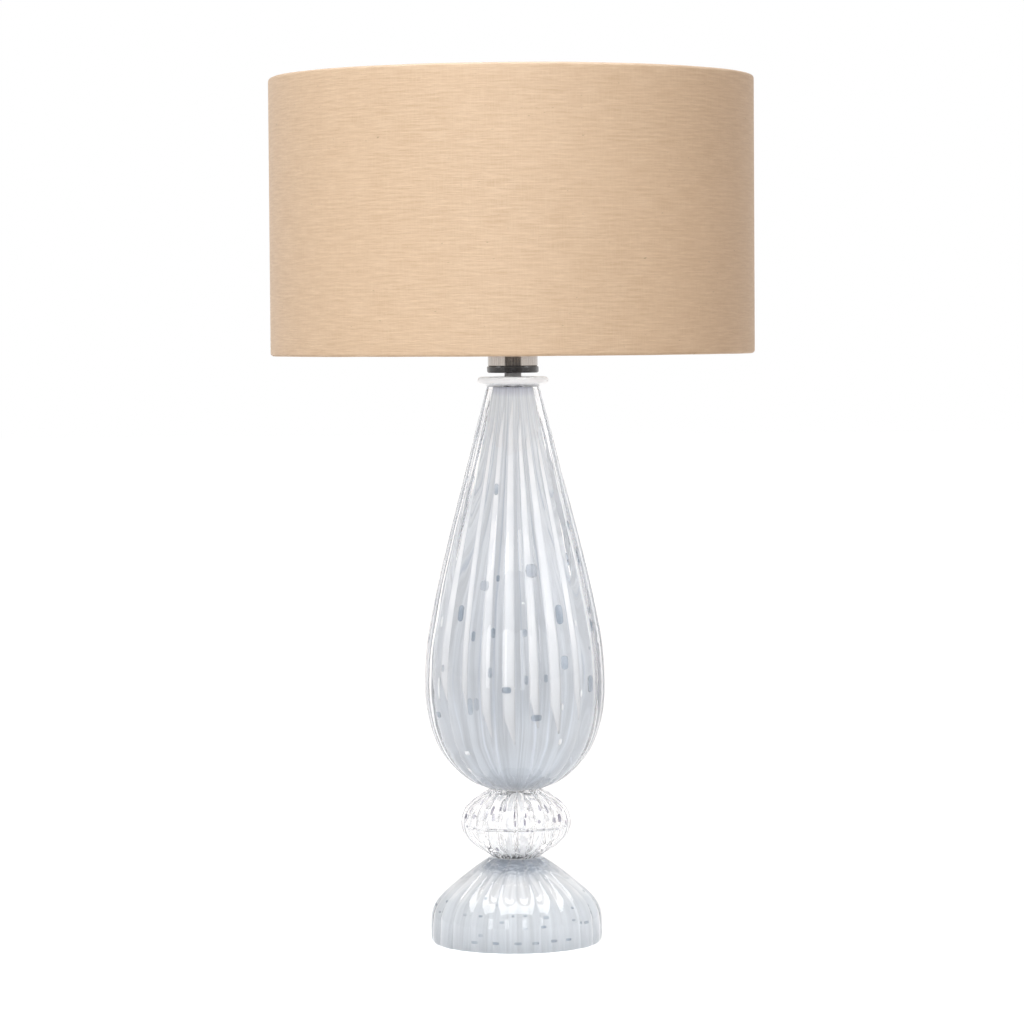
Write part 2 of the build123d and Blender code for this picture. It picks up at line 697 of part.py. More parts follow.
export_step(bulb_glass.part, "parts/bulb_glass.step")

# --------------------------------------------------------------------- shade

LINER_OUTSIDE = SHADE_RADIUS - FABRIC_THICKNESS
ROLL_INSIDE = SHADE_WIRE_RADIUS + LINER_THICKNESS / 2
ROLL_OUTSIDE = ROLL_INSIDE + FABRIC_THICKNESS
ROLL_RADIUS = SHADE_RADIUS - ROLL_OUTSIDE
ROLL_BOTTOM = SHADE_BOTTOM + ROLL_OUTSIDE
ROLL_TOP = SHADE_TOP - ROLL_OUTSIDE
WIRE_RADIUS = ROLL_RADIUS - LINER_THICKNESS / 2
HEM_INSIDE = ROLL_RADIUS - ROLL_OUTSIDE


def hoop(height):
    """A round wire hoop inside one edge of the shade."""
    with BuildPart() as piece:
        with BuildSketch(Plane.XZ):
            with Locations((WIRE_RADIUS, height)):
                Circle(SHADE_WIRE_RADIUS)
        revolve(axis=Axis.Z)
    return piece


top_wire = hoop(ROLL_TOP)
top_wire.part.label = "top_wire"
export_step(top_wire.part, "parts/top_wire.step")

bottom_wire = hoop(ROLL_BOTTOM)
bottom_wire.part.label = "bottom_wire"
export_step(bottom_wire.part, "parts/bottom_wire.step")

# Fabric: the outer skin, rolled over both hoops and a little way down inside,
# with a notch in the bottom hem for each spoke
with BuildPart() as shade_fabric:
    with BuildSketch(Plane.XZ):
        with Locations((ROLL_RADIUS, (ROLL_TOP + ROLL_BOTTOM) / 2)):
            SlotCenterToCenter(ROLL_TOP - ROLL_BOTTOM, 2 * ROLL_OUTSIDE, rotation=90)
            SlotCenterToCenter(
                ROLL_TOP - ROLL_BOTTOM, 2 * ROLL_INSIDE, rotation=90, mode=Mode.SUBTRACT
            )
            with Locations((-ROLL_OUTSIDE, 0)):
                Rectangle(
                    2 * ROLL_INSIDE, ROLL_TOP - ROLL_BOTTOM - 2 * HEM_DEPTH, mode=Mode.SUBTRACT
                )
    revolve(axis=Axis.Z)
    with BuildSketch(Plane.XY.offset(ROLL_BOTTOM - SPOKE_RADIUS - SPOKE_NOTCH_GAP)):
        with PolarLocations(HEM_INSIDE, SPOKES, start_angle=90):
            Rectangle(2 * ROLL_INSIDE, SPOKE_NOTCH)
    extrude(amount=HEM_DEPTH + 2 * SPOKE_RADIUS, mode=Mode.SUBTRACT)
shade_fabric.part.label = "shade_fabric"
export_step(shade_fabric.part, "parts/shade_fabric.step")

# Stiff white backing sheet inside the fabric, from hoop to hoop
shade_liner = washer(LINER_OUTSIDE, LINER_OUTSIDE - LINER_THICKNESS, ROLL_BOTTOM, ROLL_TOP)
shade_liner.part.label = "shade_liner"
export_step(shade_liner.part, "parts/shade_liner.step")

carrier_ring = washer(CARRIER_RADIUS, CARRIER_BORE, SHADE_SEAT, SHADE_SEAT + CARRIER_THICKNESS)
carrier_ring.part.label = "carrier_ring"
export_step(carrier_ring.part, "parts/carrier_ring.step")

# Welded spokes: level under the carrier ring, down and outwards, then level to the hoop
SPOKE_START = SLEEVE_FLANGE_RADIUS + SPOKE_CLEARANCE
SPOKE_HEIGHT = SHADE_SEAT - SPOKE_RADIUS + SPOKE_BITE
SPOKE_END = WIRE_RADIUS - SHADE_WIRE_RADIUS + SPOKE_BITE
with BuildPart() as spoke_blank:
    with BuildLine():
        FilletPolyline(
            (SPOKE_START, 0, SPOKE_HEIGHT),
            (SPOKE_KNEE, 0, SPOKE_HEIGHT),
            (SPOKE_TOE, 0, ROLL_BOTTOM),
            (SPOKE_END, 0, ROLL_BOTTOM),
            radius=SPOKE_BEND,
        )
    with BuildSketch(Plane.YZ.offset(SPOKE_START)):
        with Locations((0, SPOKE_HEIGHT)):
            Circle(SPOKE_RADIUS)
    sweep()

with BuildPart() as shade_spokes:
    with PolarLocations(0, SPOKES, start_angle=90):
        add(spoke_blank.part)
    add(carrier_ring.part, mode=Mode.SUBTRACT)
    add(bottom_wire.part, mode=Mode.SUBTRACT)
shade_spokes.part.label = "shade_spokes"
export_step(shade_spokes.part, "parts/shade_spokes.step")

# Threaded ring that clamps the carrier: a flange, a sleeve and finger grips round it
RING_BOTTOM = SHADE_SEAT + CARRIER_THICKNESS
with BuildPart() as shade_ring:
    with BuildSketch(Plane.XY.offset(RING_BOTTOM)):
        Circle(RING_RADIUS)
    extrude(amount=RING_FLANGE_THICKNESS)
    with BuildSketch(Plane.XY.offset(RING_BOTTOM)):
        Circle(RING_GRIP_RADIUS)
    extrude(amount=RING_HEIGHT)
    with BuildSketch(Plane.XY.offset(RING_BOTTOM + RING_FLANGE_THICKNESS)):
        with PolarLocations(RING_GRIP_RADIUS, RING_GRIPS):
            Circle(RING_GRIP_DEPTH)
    extrude(amount=RING_HEIGHT, mode=Mode.SUBTRACT)
    with BuildSketch(Plane.XY.offset(RING_BOTTOM)):
        Circle(RING_BORE)
    extrude(amount=RING_HEIGHT, mode=Mode.SUBTRACT)
shade_ring.part.label = "shade_ring"
export_step(shade_ring.part, "parts/shade_ring.step")

# ------------------------------------------- bottom cover, inlet and wiring

# Push-in cover with an upstanding rim and a hole for the block's screw
with BuildPart() as bottom_cover:
    with BuildSketch(Plane.XY.offset(COVER_BOTTOM)):
        Circle(COVER_RADIUS)
    extrude(amount=COVER_TOP - COVER_BOTTOM)
    with BuildSketch(Plane.XY.offset(COVER_TOP)):
        Circle(COVER_RADIUS)
        Circle(COVER_RADIUS - COVER_RIM_WALL, mode=Mode.SUBTRACT)
    extrude(amount=FOOT_MOUTH_DEPTH - COVER_TOP)
    with BuildSketch(Plane.XY.offset(COVER_BOTTOM)):
        with Locations((0, BLOCK_OFFSET)):
            Circle(BLOCK_SCREW_RADIUS + FREE_FIT)
    extrude(amount=COVER_TOP - COVER_BOTTOM, mode=Mode.SUBTRACT)
bottom_cover.part.label = "bottom_cover"
export_step(bottom_cover.part, "parts/bottom_cover.step")

cover_seal = washer(FOOT_MOUTH_RADIUS, COVER_RADIUS, SEAL_BOTTOM, FOOT_MOUTH_DEPTH)
cover_seal.part.label = "cover_seal"
export_step(cover_seal.part, "parts/cover_seal.step")

# Grommet: a clear bush with a flange that follows the foot's outside
grommet_body = inlet_hole(INLET_HOLE_RADIUS, GROMMET_INSIDE, GROMMET_OUTSIDE)
grommet_flange = inlet_hole(
    GROMMET_FLANGE_RADIUS, GROMMET_OUTSIDE - GROMMET_FLANGE_THICKNESS, GROMMET_OUTSIDE
)
grommet_bore = inlet_hole(GROMMET_BORE_RADIUS, GROMMET_INSIDE, GROMMET_OUTSIDE)
with BuildPart() as cord_grommet:
    add(grommet_flange)
    add(foot_blank, mode=Mode.SUBTRACT)
    add(grommet_body)
    add(grommet_bore, mode=Mode.SUBTRACT)
cord_grommet.part.label = "cord_grommet"
export_step(cord_grommet.part, "parts/cord_grommet.step")

# Two-way terminal block on the cover, with its ways running front to back
with BuildPart() as terminal_block:
    with BuildSketch(Plane.XY.offset(COVER_TOP)):
        with Locations((0, BLOCK_OFFSET)):
            RectangleRounded(BLOCK_LENGTH, BLOCK_DEPTH, BLOCK_CORNER)
    extrude(amount=BLOCK_TOP - COVER_TOP)
    with BuildSketch(Plane.XZ.offset(-BLOCK_OFFSET - BLOCK_DEPTH / 2)):
        with Locations((0, BLOCK_HOLE_HEIGHT)):
            with GridLocations(BLOCK_SPACING, 0, 2, 1):
                Circle(BLOCK_HOLE_RADIUS)
    extrude(amount=BLOCK_DEPTH, mode=Mode.SUBTRACT)
    with BuildSketch(Plane.XY.offset(BLOCK_HOLE_HEIGHT)):
        with Locations((0, BLOCK_OFFSET)):
            with GridLocations(BLOCK_SPACING, BLOCK_DEPTH / 2, 2, 2):
                Circle(TERMINAL_RADIUS + FREE_FIT)
    extrude(amount=BLOCK_TOP - BLOCK_HOLE_HEIGHT, mode=Mode.SUBTRACT)
    with BuildSketch(Plane.XY.offset(COVER_TOP)):
        with Locations((0, BLOCK_OFFSET)):
            Circle(BLOCK_SCREW_RADIUS)
    extrude(amount=BLOCK_SCREW_TOP - COVER_TOP, mode=Mode.SUBTRACT)
terminal_block.part.label = "terminal_block"
export_step(terminal_block.part, "parts/terminal_block.step")

# Its four slotted clamping screws, the front pair down on the leads
CLAMP_BOTTOM = BLOCK_HOLE_HEIGHT + LEAD_RADIUS
CLAMP_TOP = BLOCK_TOP - CLAMP_SINK
with BuildPart() as block_screws:
    with BuildSketch(Plane.XY.offset(CLAMP_BOTTOM)):
        with Locations((0, BLOCK_OFFSET)):
            with GridLocations(BLOCK_SPACING, BLOCK_DEPTH / 2, 2, 2):
                Circle(TERMINAL_RADIUS)
    extrude(amount=CLAMP_TOP - CLAMP_BOTTOM)
    with BuildSketch(Plane.XY.offset(CLAMP_TOP - TERMINAL_SLOT)):
        with Locations((0, BLOCK_OFFSET)):
            with GridLocations(BLOCK_SPACING, BLOCK_DEPTH / 2, 2, 2):
                Rectangle(2 * TERMINAL_RADIUS, TERMINAL_SLOT)
    extrude(amount=TERMINAL_SLOT, mode=Mode.SUBTRACT)
block_screws.part.label = "block_screws"
export_step(block_screws.part, "parts/block_screws.step")

# Screw up through the cover that holds the block down
with BuildPart() as cover_screw:
    with BuildSketch(Plane.XY.offset(BLOCK_SCREW_BOTTOM)):
        with Locations((0, BLOCK_OFFSET)):
            Circle(BLOCK_SCREW_HEAD)
    extrude(amount=COVER_BOTTOM - BLOCK_SCREW_BOTTOM)
    with BuildSketch(Plane.XY.offset(COVER_BOTTOM)):
        with Locations((0, BLOCK_OFFSET)):
            Circle(BLOCK_SCREW_RADIUS)
    extrude(amount=BLOCK_SCREW_TOP - COVER_BOTTOM)
cover_screw.part.label = "cover_screw"
export_step(cover_screw.part, "parts/cover_screw.step")


def lead(side):
    """One insulated lead, from its terminal in the lampholder down the tube to the block."""
    with BuildPart() as piece:
        with BuildLine():
            FilletPolyline(
                (side * TERMINAL_SPACING, 0, TERMINAL_HEIGHT + TERMINAL_RADIUS),
                (side * TERMINAL_SPACING, 0, INSERT_BOTTOM - LEAD_DROP),
                (side * LEAD_OFFSET, 0, TUBE_TOP + LEAD_OVER_TUBE),
                (side * LEAD_OFFSET, 0, TUBE_BOTTOM - LEAD_UNDER_TUBE),
                (side * BLOCK_SPACING / 2, LEAD_SPREAD, BLOCK_HOLE_HEIGHT),
                (side * BLOCK_SPACING / 2, LEAD_END, BLOCK_HOLE_HEIGHT),
                radius=LEAD_BEND,
            )
        with BuildSketch(Plane.XY.offset(TERMINAL_HEIGHT + TERMINAL_RADIUS)):
            with Locations((side * TERMINAL_SPACING, 0)):
                Circle(LEAD_RADIUS)
        sweep()
    return piece


lead_live = lead(1)
lead_live.part.label = "lead_live"
export_step(lead_live.part, "parts/lead_live.step")

lead_neutral = lead(-1)
lead_neutral.part.label = "lead_neutral"
export_step(lead_neutral.part, "parts/lead_neutral.step")
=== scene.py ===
import random
from math import asin, cos, hypot, pi, radians, sin

import bmesh
import bpy
from mathutils import Matrix, Vector


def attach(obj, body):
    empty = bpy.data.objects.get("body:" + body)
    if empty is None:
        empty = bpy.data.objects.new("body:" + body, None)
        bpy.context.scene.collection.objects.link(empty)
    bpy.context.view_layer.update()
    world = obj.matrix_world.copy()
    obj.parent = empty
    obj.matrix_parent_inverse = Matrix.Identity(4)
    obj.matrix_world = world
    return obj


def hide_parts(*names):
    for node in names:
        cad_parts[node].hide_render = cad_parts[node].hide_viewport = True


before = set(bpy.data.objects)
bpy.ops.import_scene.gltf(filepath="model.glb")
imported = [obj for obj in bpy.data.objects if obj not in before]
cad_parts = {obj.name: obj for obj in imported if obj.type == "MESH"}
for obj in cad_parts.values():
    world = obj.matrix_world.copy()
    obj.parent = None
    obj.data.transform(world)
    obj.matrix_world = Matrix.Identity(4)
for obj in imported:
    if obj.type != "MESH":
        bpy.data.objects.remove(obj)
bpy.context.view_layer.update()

# A table lamp of ribbed glass under a drum shade. Everything is in metres, in the
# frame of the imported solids: +Z up, the front at -Y, the origin under the foot.

MM = 0.001
scene = bpy.context.scene


# ---------------------------------------------------------------- dimensions

RIBS = 22
RIB_PITCH = 2 * pi / RIBS
FRONT = -pi / 2             # a valley between two ribs faces the front
RIB_STEPS = 16              # mesh steps across one rib
ROW_STEPS = 7               # and between two rows of an outline
FLANGE_STEPS = 5
DEPTH_STEPS = 4             # steps of the rows that a rib's depth is read from
TUBE_HOLE = 5.6
CORE_HOLE = 5.7             # the tube's hole in a milky layer
FUSED = 0.06                # how far a milky layer reaches into the clear glass round it

# Height, crest radius and rib depth of each glass piece, in millimetres
FOOT_OUTLINE = [
    (0.15, 66.6, 0.6), (1.2, 69.8, 0.9), (4.5, 71.2, 1.4), (11.5, 71.4, 1.7), (18.2, 71.3, 1.8),
    (25.0, 70.6, 1.8), (31.6, 68.4, 1.8), (38.3, 64.0, 1.8), (45.0, 57.3, 1.7), (51.8, 49.2, 1.6),
    (58.5, 40.7, 1.4), (65.2, 31.6, 1.3), (71.0, 22.8, 1.2),
]
BALL_OUTLINE = [
    (71.6, 19.5, 1.5), (75.5, 25.0, 1.7), (80.0, 32.6, 1.8), (84.5, 38.6, 1.8), (91.0, 43.7, 1.9),
    (100.5, 45.9, 1.9), (110.0, 43.9, 1.8), (117.8, 38.0, 1.7), (123.8, 30.0, 1.6),
    (128.6, 21.0, 1.4),
]
# The ball's blown hollow, with the crease where its two halves met in the mould
BALL_HOLLOW = [
    (77.0, TUBE_HOLE, 0.0), (79.0, 13.0, 0.5), (83.5, 21.0, 0.9), (90.5, 28.0, 1.2),
    (96.4, 30.6, 1.3), (97.8, 29.0, 1.8), (99.4, 31.0, 1.3), (107.0, 29.4, 1.2),
    (115.5, 22.0, 0.9), (121.0, 13.0, 0.5), (123.0, TUBE_HOLE, 0.0),
]
HOLLOW_RIBS = 2             # ribs in the hollow for each one outside
HOLLOW_WAVE = 0.5           # and how uneven it is
BODY_OUTLINE = [
    (129.2, 23.5, 0.9), (134.0, 35.5, 1.1), (141.0, 45.6, 1.2), (151.4, 56.0, 1.4),
    (163.9, 64.0, 1.5), (179.0, 70.0, 1.6), (197.0, 73.8, 1.6), (219.0, 74.9, 1.6),
    (250.0, 72.7, 1.6), (280.0, 67.4, 1.5), (310.6, 60.8, 1.3), (340.0, 53.6, 1.1),
    (369.0, 46.2, 0.8), (395.0, 39.4, 0.5), (421.0, 32.8, 0.3), (443.0, 27.0, 0.2),
    (462.6, 21.9, 0.12),
]
FLANGE_OUTLINE = [
    (464.2, 22.4, 0.0), (464.9, 26.0, 0.0), (465.9, 28.5, 0.0), (467.9, 29.6, 0.0),
    (469.9, 28.6, 0.0), (470.9, 26.4, 0.0), (471.2, 23.5, 0.0),
]
FLANGE_RING = [             # pale ring inside the flange: painted light, for the brightness seen through it
    (466.0, 12.0), (466.0, 24.5), (467.0, 26.5), (468.8, 26.5), (469.8, 24.5), (469.8, 12.0),
]
# Height and radius of the milky layers inside them
BODY_CORE = [
    (139.0, 7.0), (143.0, 17.0), (152.0, 30.0), (165.0, 38.6), (180.0, 44.5), (219.0, 49.3),
    (265.0, 45.0), (315.0, 34.5), (369.0, 22.5), (421.0, 14.8), (463.0, 10.3),
]
FOOT_CORE = [
    (0.8, 57.5), (9.0, 57.5), (20.0, 56.5), (30.0, 53.0), (38.0, 47.0), (46.0, 37.5),
    (54.0, 26.5), (61.0, 16.5), (67.0, 9.5),
]
# The foot's hollow: the milky layer's inside from the tube down to the mouth, and the clear
# glass's inside from the mouth up to the tube, which lies within the milky layer
FOOT_INSIDE = [
    (57.0, CORE_HOLE), (57.0, 20.5), (50.0, 28.5), (42.0, 36.5), (32.0, 44.5), (21.0, 49.0),
    (9.0, 50.5), (9.0, 55.05), (0.8, 55.05),
]
FOOT_MOUTH = 55.6
FOOT_HOLLOW = [
    (9.4, FOOT_MOUTH, 0.0), (11.0, 54.0, 0.0), (21.0, 52.5, 0.0), (32.0, 48.0, 0.0),
    (42.0, 39.0, 0.0), (50.0, 29.6, 0.0), (54.0, 24.6, 0.0), (60.0, 15.0, 0.0),
    (60.0, TUBE_HOLE, 0.0),
]
CORE_RIB_SHARE = 0.9        # rib depth of a milky layer, as a share of the rib outside it

# Bubbles seen at the front: how far right of the middle, height, half width, half height
BODY_DISCS = [(14, 313, 5.0, 5.4), (-24, 301, 3.4, 4.0), (-31, 205, 2.0, 5.0)]
BODY_BUBBLES = [
    (-43, 278, 2.6, 6.6), (36, 277, 3.7, 8.0),
    (40, 238, 3.7, 5.6), (-7, 217, 3.6, 2.6), (-36, 203, 2.4, 6.8), (-33, 260, 1.7, 4.2),
    (-17, 263, 1.7, 4.0), (8, 263, 1.9, 3.0), (-20, 231, 2.0, 4.2), (9, 225, 1.5, 3.6),
    (25, 226, 1.4, 3.2), (-14, 379, 1.7, 4.6), (17, 194, 4.6, 2.6), (-13, 307, 1.4, 2.6),
]
# Bubbles painted light, as glints: their pale colour stands in for the light they catch
BODY_GLINT_BUBBLES = [
    (-61, 216, 1.0, 9.0), (-58, 270, 1.4, 4.2), (53, 212, 1.1, 3.0), (38, 202, 1.1, 2.8),
    (36, 173, 1.7, 2.6), (-39, 164, 2.2, 1.8), (-37, 149, 1.8, 1.5), (7, 287, 1.1, 1.1),
    (49, 269, 1.3, 2.4),
]
FOOT_BUBBLES = [
    (-42, 30, 1.7, 0.8), (-29, 30, 1.6, 0.8), (-12, 26, 1.8, 0.9), (-16, 39, 1.5, 0.7),
    (7, 21, 1.8, 0.9), (24, 29, 2.3, 1.1), (22, 22, 2.2, 1.1), (45, 34, 1.5, 0.8),
    (46, 25, 1.7, 0.8), (-34, 9, 3.0, 1.2), (-25, 43, 1.4, 0.9), (-3, 31, 1.2, 0.8),
    (7, 31, 1.6, 0.7), (52, 22, 1.6, 1.2), (-29, 15, 2.0, 1.2), (-17, 9, 3.0, 1.2),
    (1, 9, 3.2, 1.2), (15, 9, 3.0, 1.2), (30, 10, 2.8, 1.2), (42, 10, 2.6, 1.1),
]
BUBBLE_DEPTH = 3.2          # from the crests of the ribs to the middle of a bubble
BUBBLE_SQUARENESS = 0.45    # 0 is round
BUBBLE_MOST_DEPTH = 1.1     # half of it, before it is flattened
BUBBLE_FLATNESS = 0.7
SCATTERED_SIZE = (0.5, 1.0)     # the bubbles at the sides and the back, against those at the front
SCATTERED_FROM, SCATTERED_TO = radians(55), radians(305)    # and where they are, from the front

# Small dark marks in the ball's glass, and light ones that are painted glints, in rows round the
# axis:
# the lowest and highest one, how many, half width, half height, depth under the crests
BALL_MARKS = [
    (103, 108, 26, 0.7, 2.2, 10.0), (109, 116, 34, 0.8, 3.0, 7.0), (96.5, 98.5, 34, 1.3, 0.6, 8.0),
    (79, 84, 14, 0.6, 2.4, 8.0),
]
BALL_GLINTS = [
    (73.6, 75.6, 26, 0.9, 2.2, 2.2), (122.5, 125.5, 28, 0.8, 2.6, 2.4),
    (100, 112, 16, 0.6, 2.0, 3.0),
]
MARK_SQUARENESS = 0.3
MARK_SHIFT = 0.3            # how far a mark may be from its even place, as a share of their spacing
MARK_WIDTHS = (0.6, 1.2)    # against the row's own
MARK_HEIGHTS = (0.5, 1.2)

# Bands of painted highlight under the surface, for the light the ribs reflect: the rib, where they
# start and end across it at the top and at the bottom, and their top and bottom heights
BODY_BANDS = [
    (-4, 0.55, 0.90, 0.45, 0.90, 392, 205), (-3, 0.60, 0.97, 0.72, 0.97, 440, 196),
    (-2, 0.56, 0.97, 0.62, 0.97, 446, 178), (-1, 0.52, 0.97, 0.53, 0.98, 452, 172),
    (0, 0.46, 0.80, 0.60, 0.97, 440, 186), (1, 0.20, 0.60, 0.50, 0.96, 436, 180),
    (2, 0.30, 0.62, 0.62, 0.92, 425, 190), (3, 0.66, 0.97, 0.80, 0.97, 410, 196),
]
BAND_DEPTH = 4.2            # under the glass's surface
BAND_THICKNESS = 0.3
BAND_POINT = 26.0           # length over which a band narrows towards its end
BAND_TIP = 0.15             # share of its width left at its end
BAND_ACROSS = 6             # mesh steps across a band
BAND_STEP = 4.0             # and their length along it
EDGE_LINE = 0.035           # width of the dark line of painted shade beside a band, as a share of a rib
LINED_WIDTH = 0.2           # narrower bands have no such line
# The bands of the other ribs: how many ribs have one, and between what their places are drawn
BANDED_SHARE = 0.85
BAND_STARTS = (0.4, 0.7)
BAND_ENDS = (0.9, 0.97)
BAND_LEAN = 0.05            # how much further round a band starts at its bottom
BAND_TOPS = (380, 450)
BAND_BOTTOMS = (175, 205)

# The shade's cloth: rolled over a wire at both edges, its ends lapped near the back
SHADE_RADIUS = 200.0
SHADE_BOTTOM = 489.4
SHADE_TOP = 717.0
CLOTH = 0.6                 # thickness
ROLL = 1.85                 # inside radius of a rolled edge
HEM = 9.0                   # how far the cloth reaches back inside, past the wire's middle
LAP = 12.0
SEAM = radians(97)
SPOKE_ANGLES = [radians(angle) for angle in (90, 210, 330)]
NOTCH = 2.25                # half the width of the hem's cut-out round a spoke
NOTCH_DEPTH = 3.05          # how far inside the cloth's outside it starts
NOTCH_BOTTOM = 0.65         # from the shade's bottom
NOTCH_TOP = 40.0
NOTCH_CLEARING = 1.6        # columns nearer to a spoke than this many half widths are left out
CLOTH_COLUMNS = 480
ROLL_STEPS = 10
WALL_STEPS = 26
HEM_STEPS = 3
UNEVEN_ROLL = 0.12          # unevenness of the rolled edges, and of their height
UNEVEN_EDGE = 0.25
LAP_GAP = 0.1               # between the two layers of the lap
LAP_RISE = 4.0              # length over which the upper layer rises, and how early it starts
LAP_LEAD = 5.0


# ------------------------------------------------------------- mesh building

def through(points, steps):
    """Points along a smooth curve through a few given ones."""
    curve = []
    for i in range(len(points) - 1):
        last = min(i + 2, len(points) - 1)
        around = [points[max(i - 1, 0)], points[i], points[i + 1], points[last]]
        for k in range(steps):
            t = k / steps
            curve.append(tuple(
                (2 * b + (c - a) * t + (2 * a - 5 * b + 4 * c - d) * t**2
                 + (3 * b - a - 3 * c + d) * t**3) / 2
                for a, b, c, d in zip(*around)
            ))
    curve.append(tuple(points[-1]))
    return curve


def finished(bm, name, material, body):
    """Turn a bmesh in millimetres into a piece that rides on a body."""
    bmesh.ops.scale(bm, vec=(MM, MM, MM), verts=bm.verts)
    mesh = bpy.data.meshes.new(name)
    bm.to_mesh(mesh)
    bm.free()
    mesh.materials.append(material)
    for face in mesh.polygons:
        face.use_smooth = True
    piece = bpy.data.objects.new(name, mesh)
    scene.collection.objects.link(piece)
    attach(piece, body)
    return piece


def rib_angles():
    """Angles round the axis, closer together near the valleys between the ribs."""
    return [
        FRONT + (rib + 0.5 - 0.5 * cos(pi * k / RIB_STEPS)) * RIB_PITCH
        for rib in range(RIBS)
        for k in range(RIB_STEPS)
    ]


ANGLES = rib_angles()


def rib_drop(angle, finer=1):
    """0 on a rib's crest, 1 in the valleys beside it."""
    return (2 * (((angle - FRONT) / RIB_PITCH * finer) % 1) - 1) ** 2


def ring_of(bm, height, crest, depth=0.0, finer=1, wave=0.0):
    """A ribbed ring, with finer times the glass's ribs and unevenly smaller by up to wave."""
    ring = []
    for angle in ANGLES:
        uneven = sin(0.8 * height + 3 * sin(5 * angle) + 2 * sin(11 * angle + 0.3 * height))
        radius = crest - depth * rib_drop(angle, finer) - wave * (1 + uneven) / 2
        ring.append(bm.verts.new((radius * cos(angle), radius * sin(angle), height)))
    return ring


def strip(bm, lower, upper):
    """Faces between two rings."""
    count = len(lower)
    for i in range(count):
        j = (i + 1) % count
        bm.faces.new((lower[i], lower[j], upper[j], upper[i]))


def tube_of(bm, rings):
    """Faces between each ring and the next, and from the last one back to the first."""
    for lower, upper in zip(rings, rings[1:] + rings[:1]):
        strip(bm, lower, upper)
    bmesh.ops.recalc_face_normals(bm, faces=bm.faces)


# ----------------------------------------------------------------- materials

MAP_RANGE_ENDS = ("From Min", "From Max", "To Min", "To Max")


class Finish:
    """A node material round one Principled shader."""

    def __init__(self, name, **values):
        self.material = bpy.data.materials.new(name)
        self.material.use_nodes = True
        self.tree = self.material.node_tree
        self.shader = self.tree.nodes["Principled BSDF"]
        for socket, value in values.items():
            self.feed(self.shader.inputs[socket.replace("_", " ")], value)
        self.object_space = self.node("TexCoord").outputs["Object"]

    def feed(self, socket, value):
        if isinstance(value, bpy.types.NodeSocket):
            self.tree.links.new(value, socket)
        elif isinstance(value, tuple) and len(value) == 3 and socket.type == "RGBA":
            socket.default_value = (*value, 1)
        else:
            socket.default_value = value

    def node(self, kind, **settings):
        node = self.tree.nodes.new("ShaderNode" + kind)
        for name, value in settings.items():
            setattr(node, name, value)
        return node

    def math(self, operation, first, second=0.0):
        node = self.node("Math", operation=operation)
        self.feed(node.inputs[0], first)
        self.feed(node.inputs[1], second)
        return node.outputs[0]

    def stretched(self, x, y, z):
        """Object space, scaled per axis: pattern features per metre."""
        node = self.node("Mapping")
        self.feed(node.inputs["Vector"], self.object_space)
        node.inputs["Scale"].default_value = (x, y, z)
        return node.outputs[0]

    def noise(self, vector, detail=3.0, roughness=0.5):
        node = self.node("TexNoise")
        self.feed(node.inputs["Vector"], vector)
        node.inputs["Scale"].default_value = 1.0
        node.inputs["Detail"].default_value = detail
        node.inputs["Roughness"].default_value = roughness
        return node.outputs["Fac"]

    def remap(self, value, low, high, to_low=0.0, to_high=1.0):
        node = self.node("MapRange")
        self.feed(node.inputs["Value"], value)
        for name, number in zip(MAP_RANGE_ENDS, (low, high, to_low, to_high)):
            node.inputs[name].default_value = number
        return node.outputs["Result"]

    def ramp(self, value, *stops):
        """Colours at positions from 0 to 1."""
        node = self.node("ValToRGB")
        elements = node.color_ramp.elements
        while len(elements) < len(stops):
            elements.new(0.5)
        for element, (position, colour) in zip(elements, stops):
            element.position = position
            element.color = (*colour, 1)
        self.feed(node.inputs["Fac"], value)
        return node.outputs["Color"]

    def mottle(self, per_metre, low=0.38, high=0.62, detail=2.0):
        """Soft patches from 0 to 1."""
        return self.remap(self.noise(self.stretched(*per_metre), detail=detail), low, high)

    def blend(self, share, first, second, mode="MIX"):
        node = self.node("Mix", data_type="RGBA", blend_type=mode)
        self.feed(node.inputs["Factor"], share)
        self.feed(node.inputs["A"], first)
        self.feed(node.inputs["B"], second)
        return node.outputs["Result"]

    def bump(self, height, distance, strength=1.0):
        node = self.node("Bump")
        node.inputs["Strength"].default_value = strength
        node.inputs["Distance"].default_value = distance
        self.feed(node.inputs["Height"], height)
        self.tree.links.new(node.outputs["Normal"], self.shader.inputs["Normal"])

    def round_axis(self):
        """How far round the axis a point is, in ribs from the front, and its height."""
        parts = self.node("SeparateXYZ")
        self.feed(parts.inputs[0], self.object_space)
        behind = self.math("MULTIPLY", parts.outputs["Y"], -1.0)
        angle = self.math("ARCTAN2", parts.outputs["X"], behind)
        return self.math("DIVIDE", angle, RIB_PITCH), parts.outputs["Z"]

    def plotted(self, x, y, z=0.0):
        """A vector from three values, for a texture."""
        node = self.node("CombineXYZ")
        for socket, value in zip(node.inputs, (x, y, z)):
            self.feed(socket, value)
        return node.outputs[0]


GLASS_WAVES = (55, 55, 20)      # per metre
GLASS_WAVE_HEIGHT = 0.0006
# Upright streaks in milky glass: how many across a rib, how many per metre of height, the place in
# the pattern, where they begin and are full, and their darkest and lightest factor
STREAKS = [
    (3.5, 5.0, 0.0, (0.42, 0.56), (0.86, 1.0)), (11.0, 9.0, 7.0, (0.40, 0.60), (0.93, 1.0)),
    (0.7, 16.0, 4.0, (0.35, 0.65), (0.95, 1.0)),
]
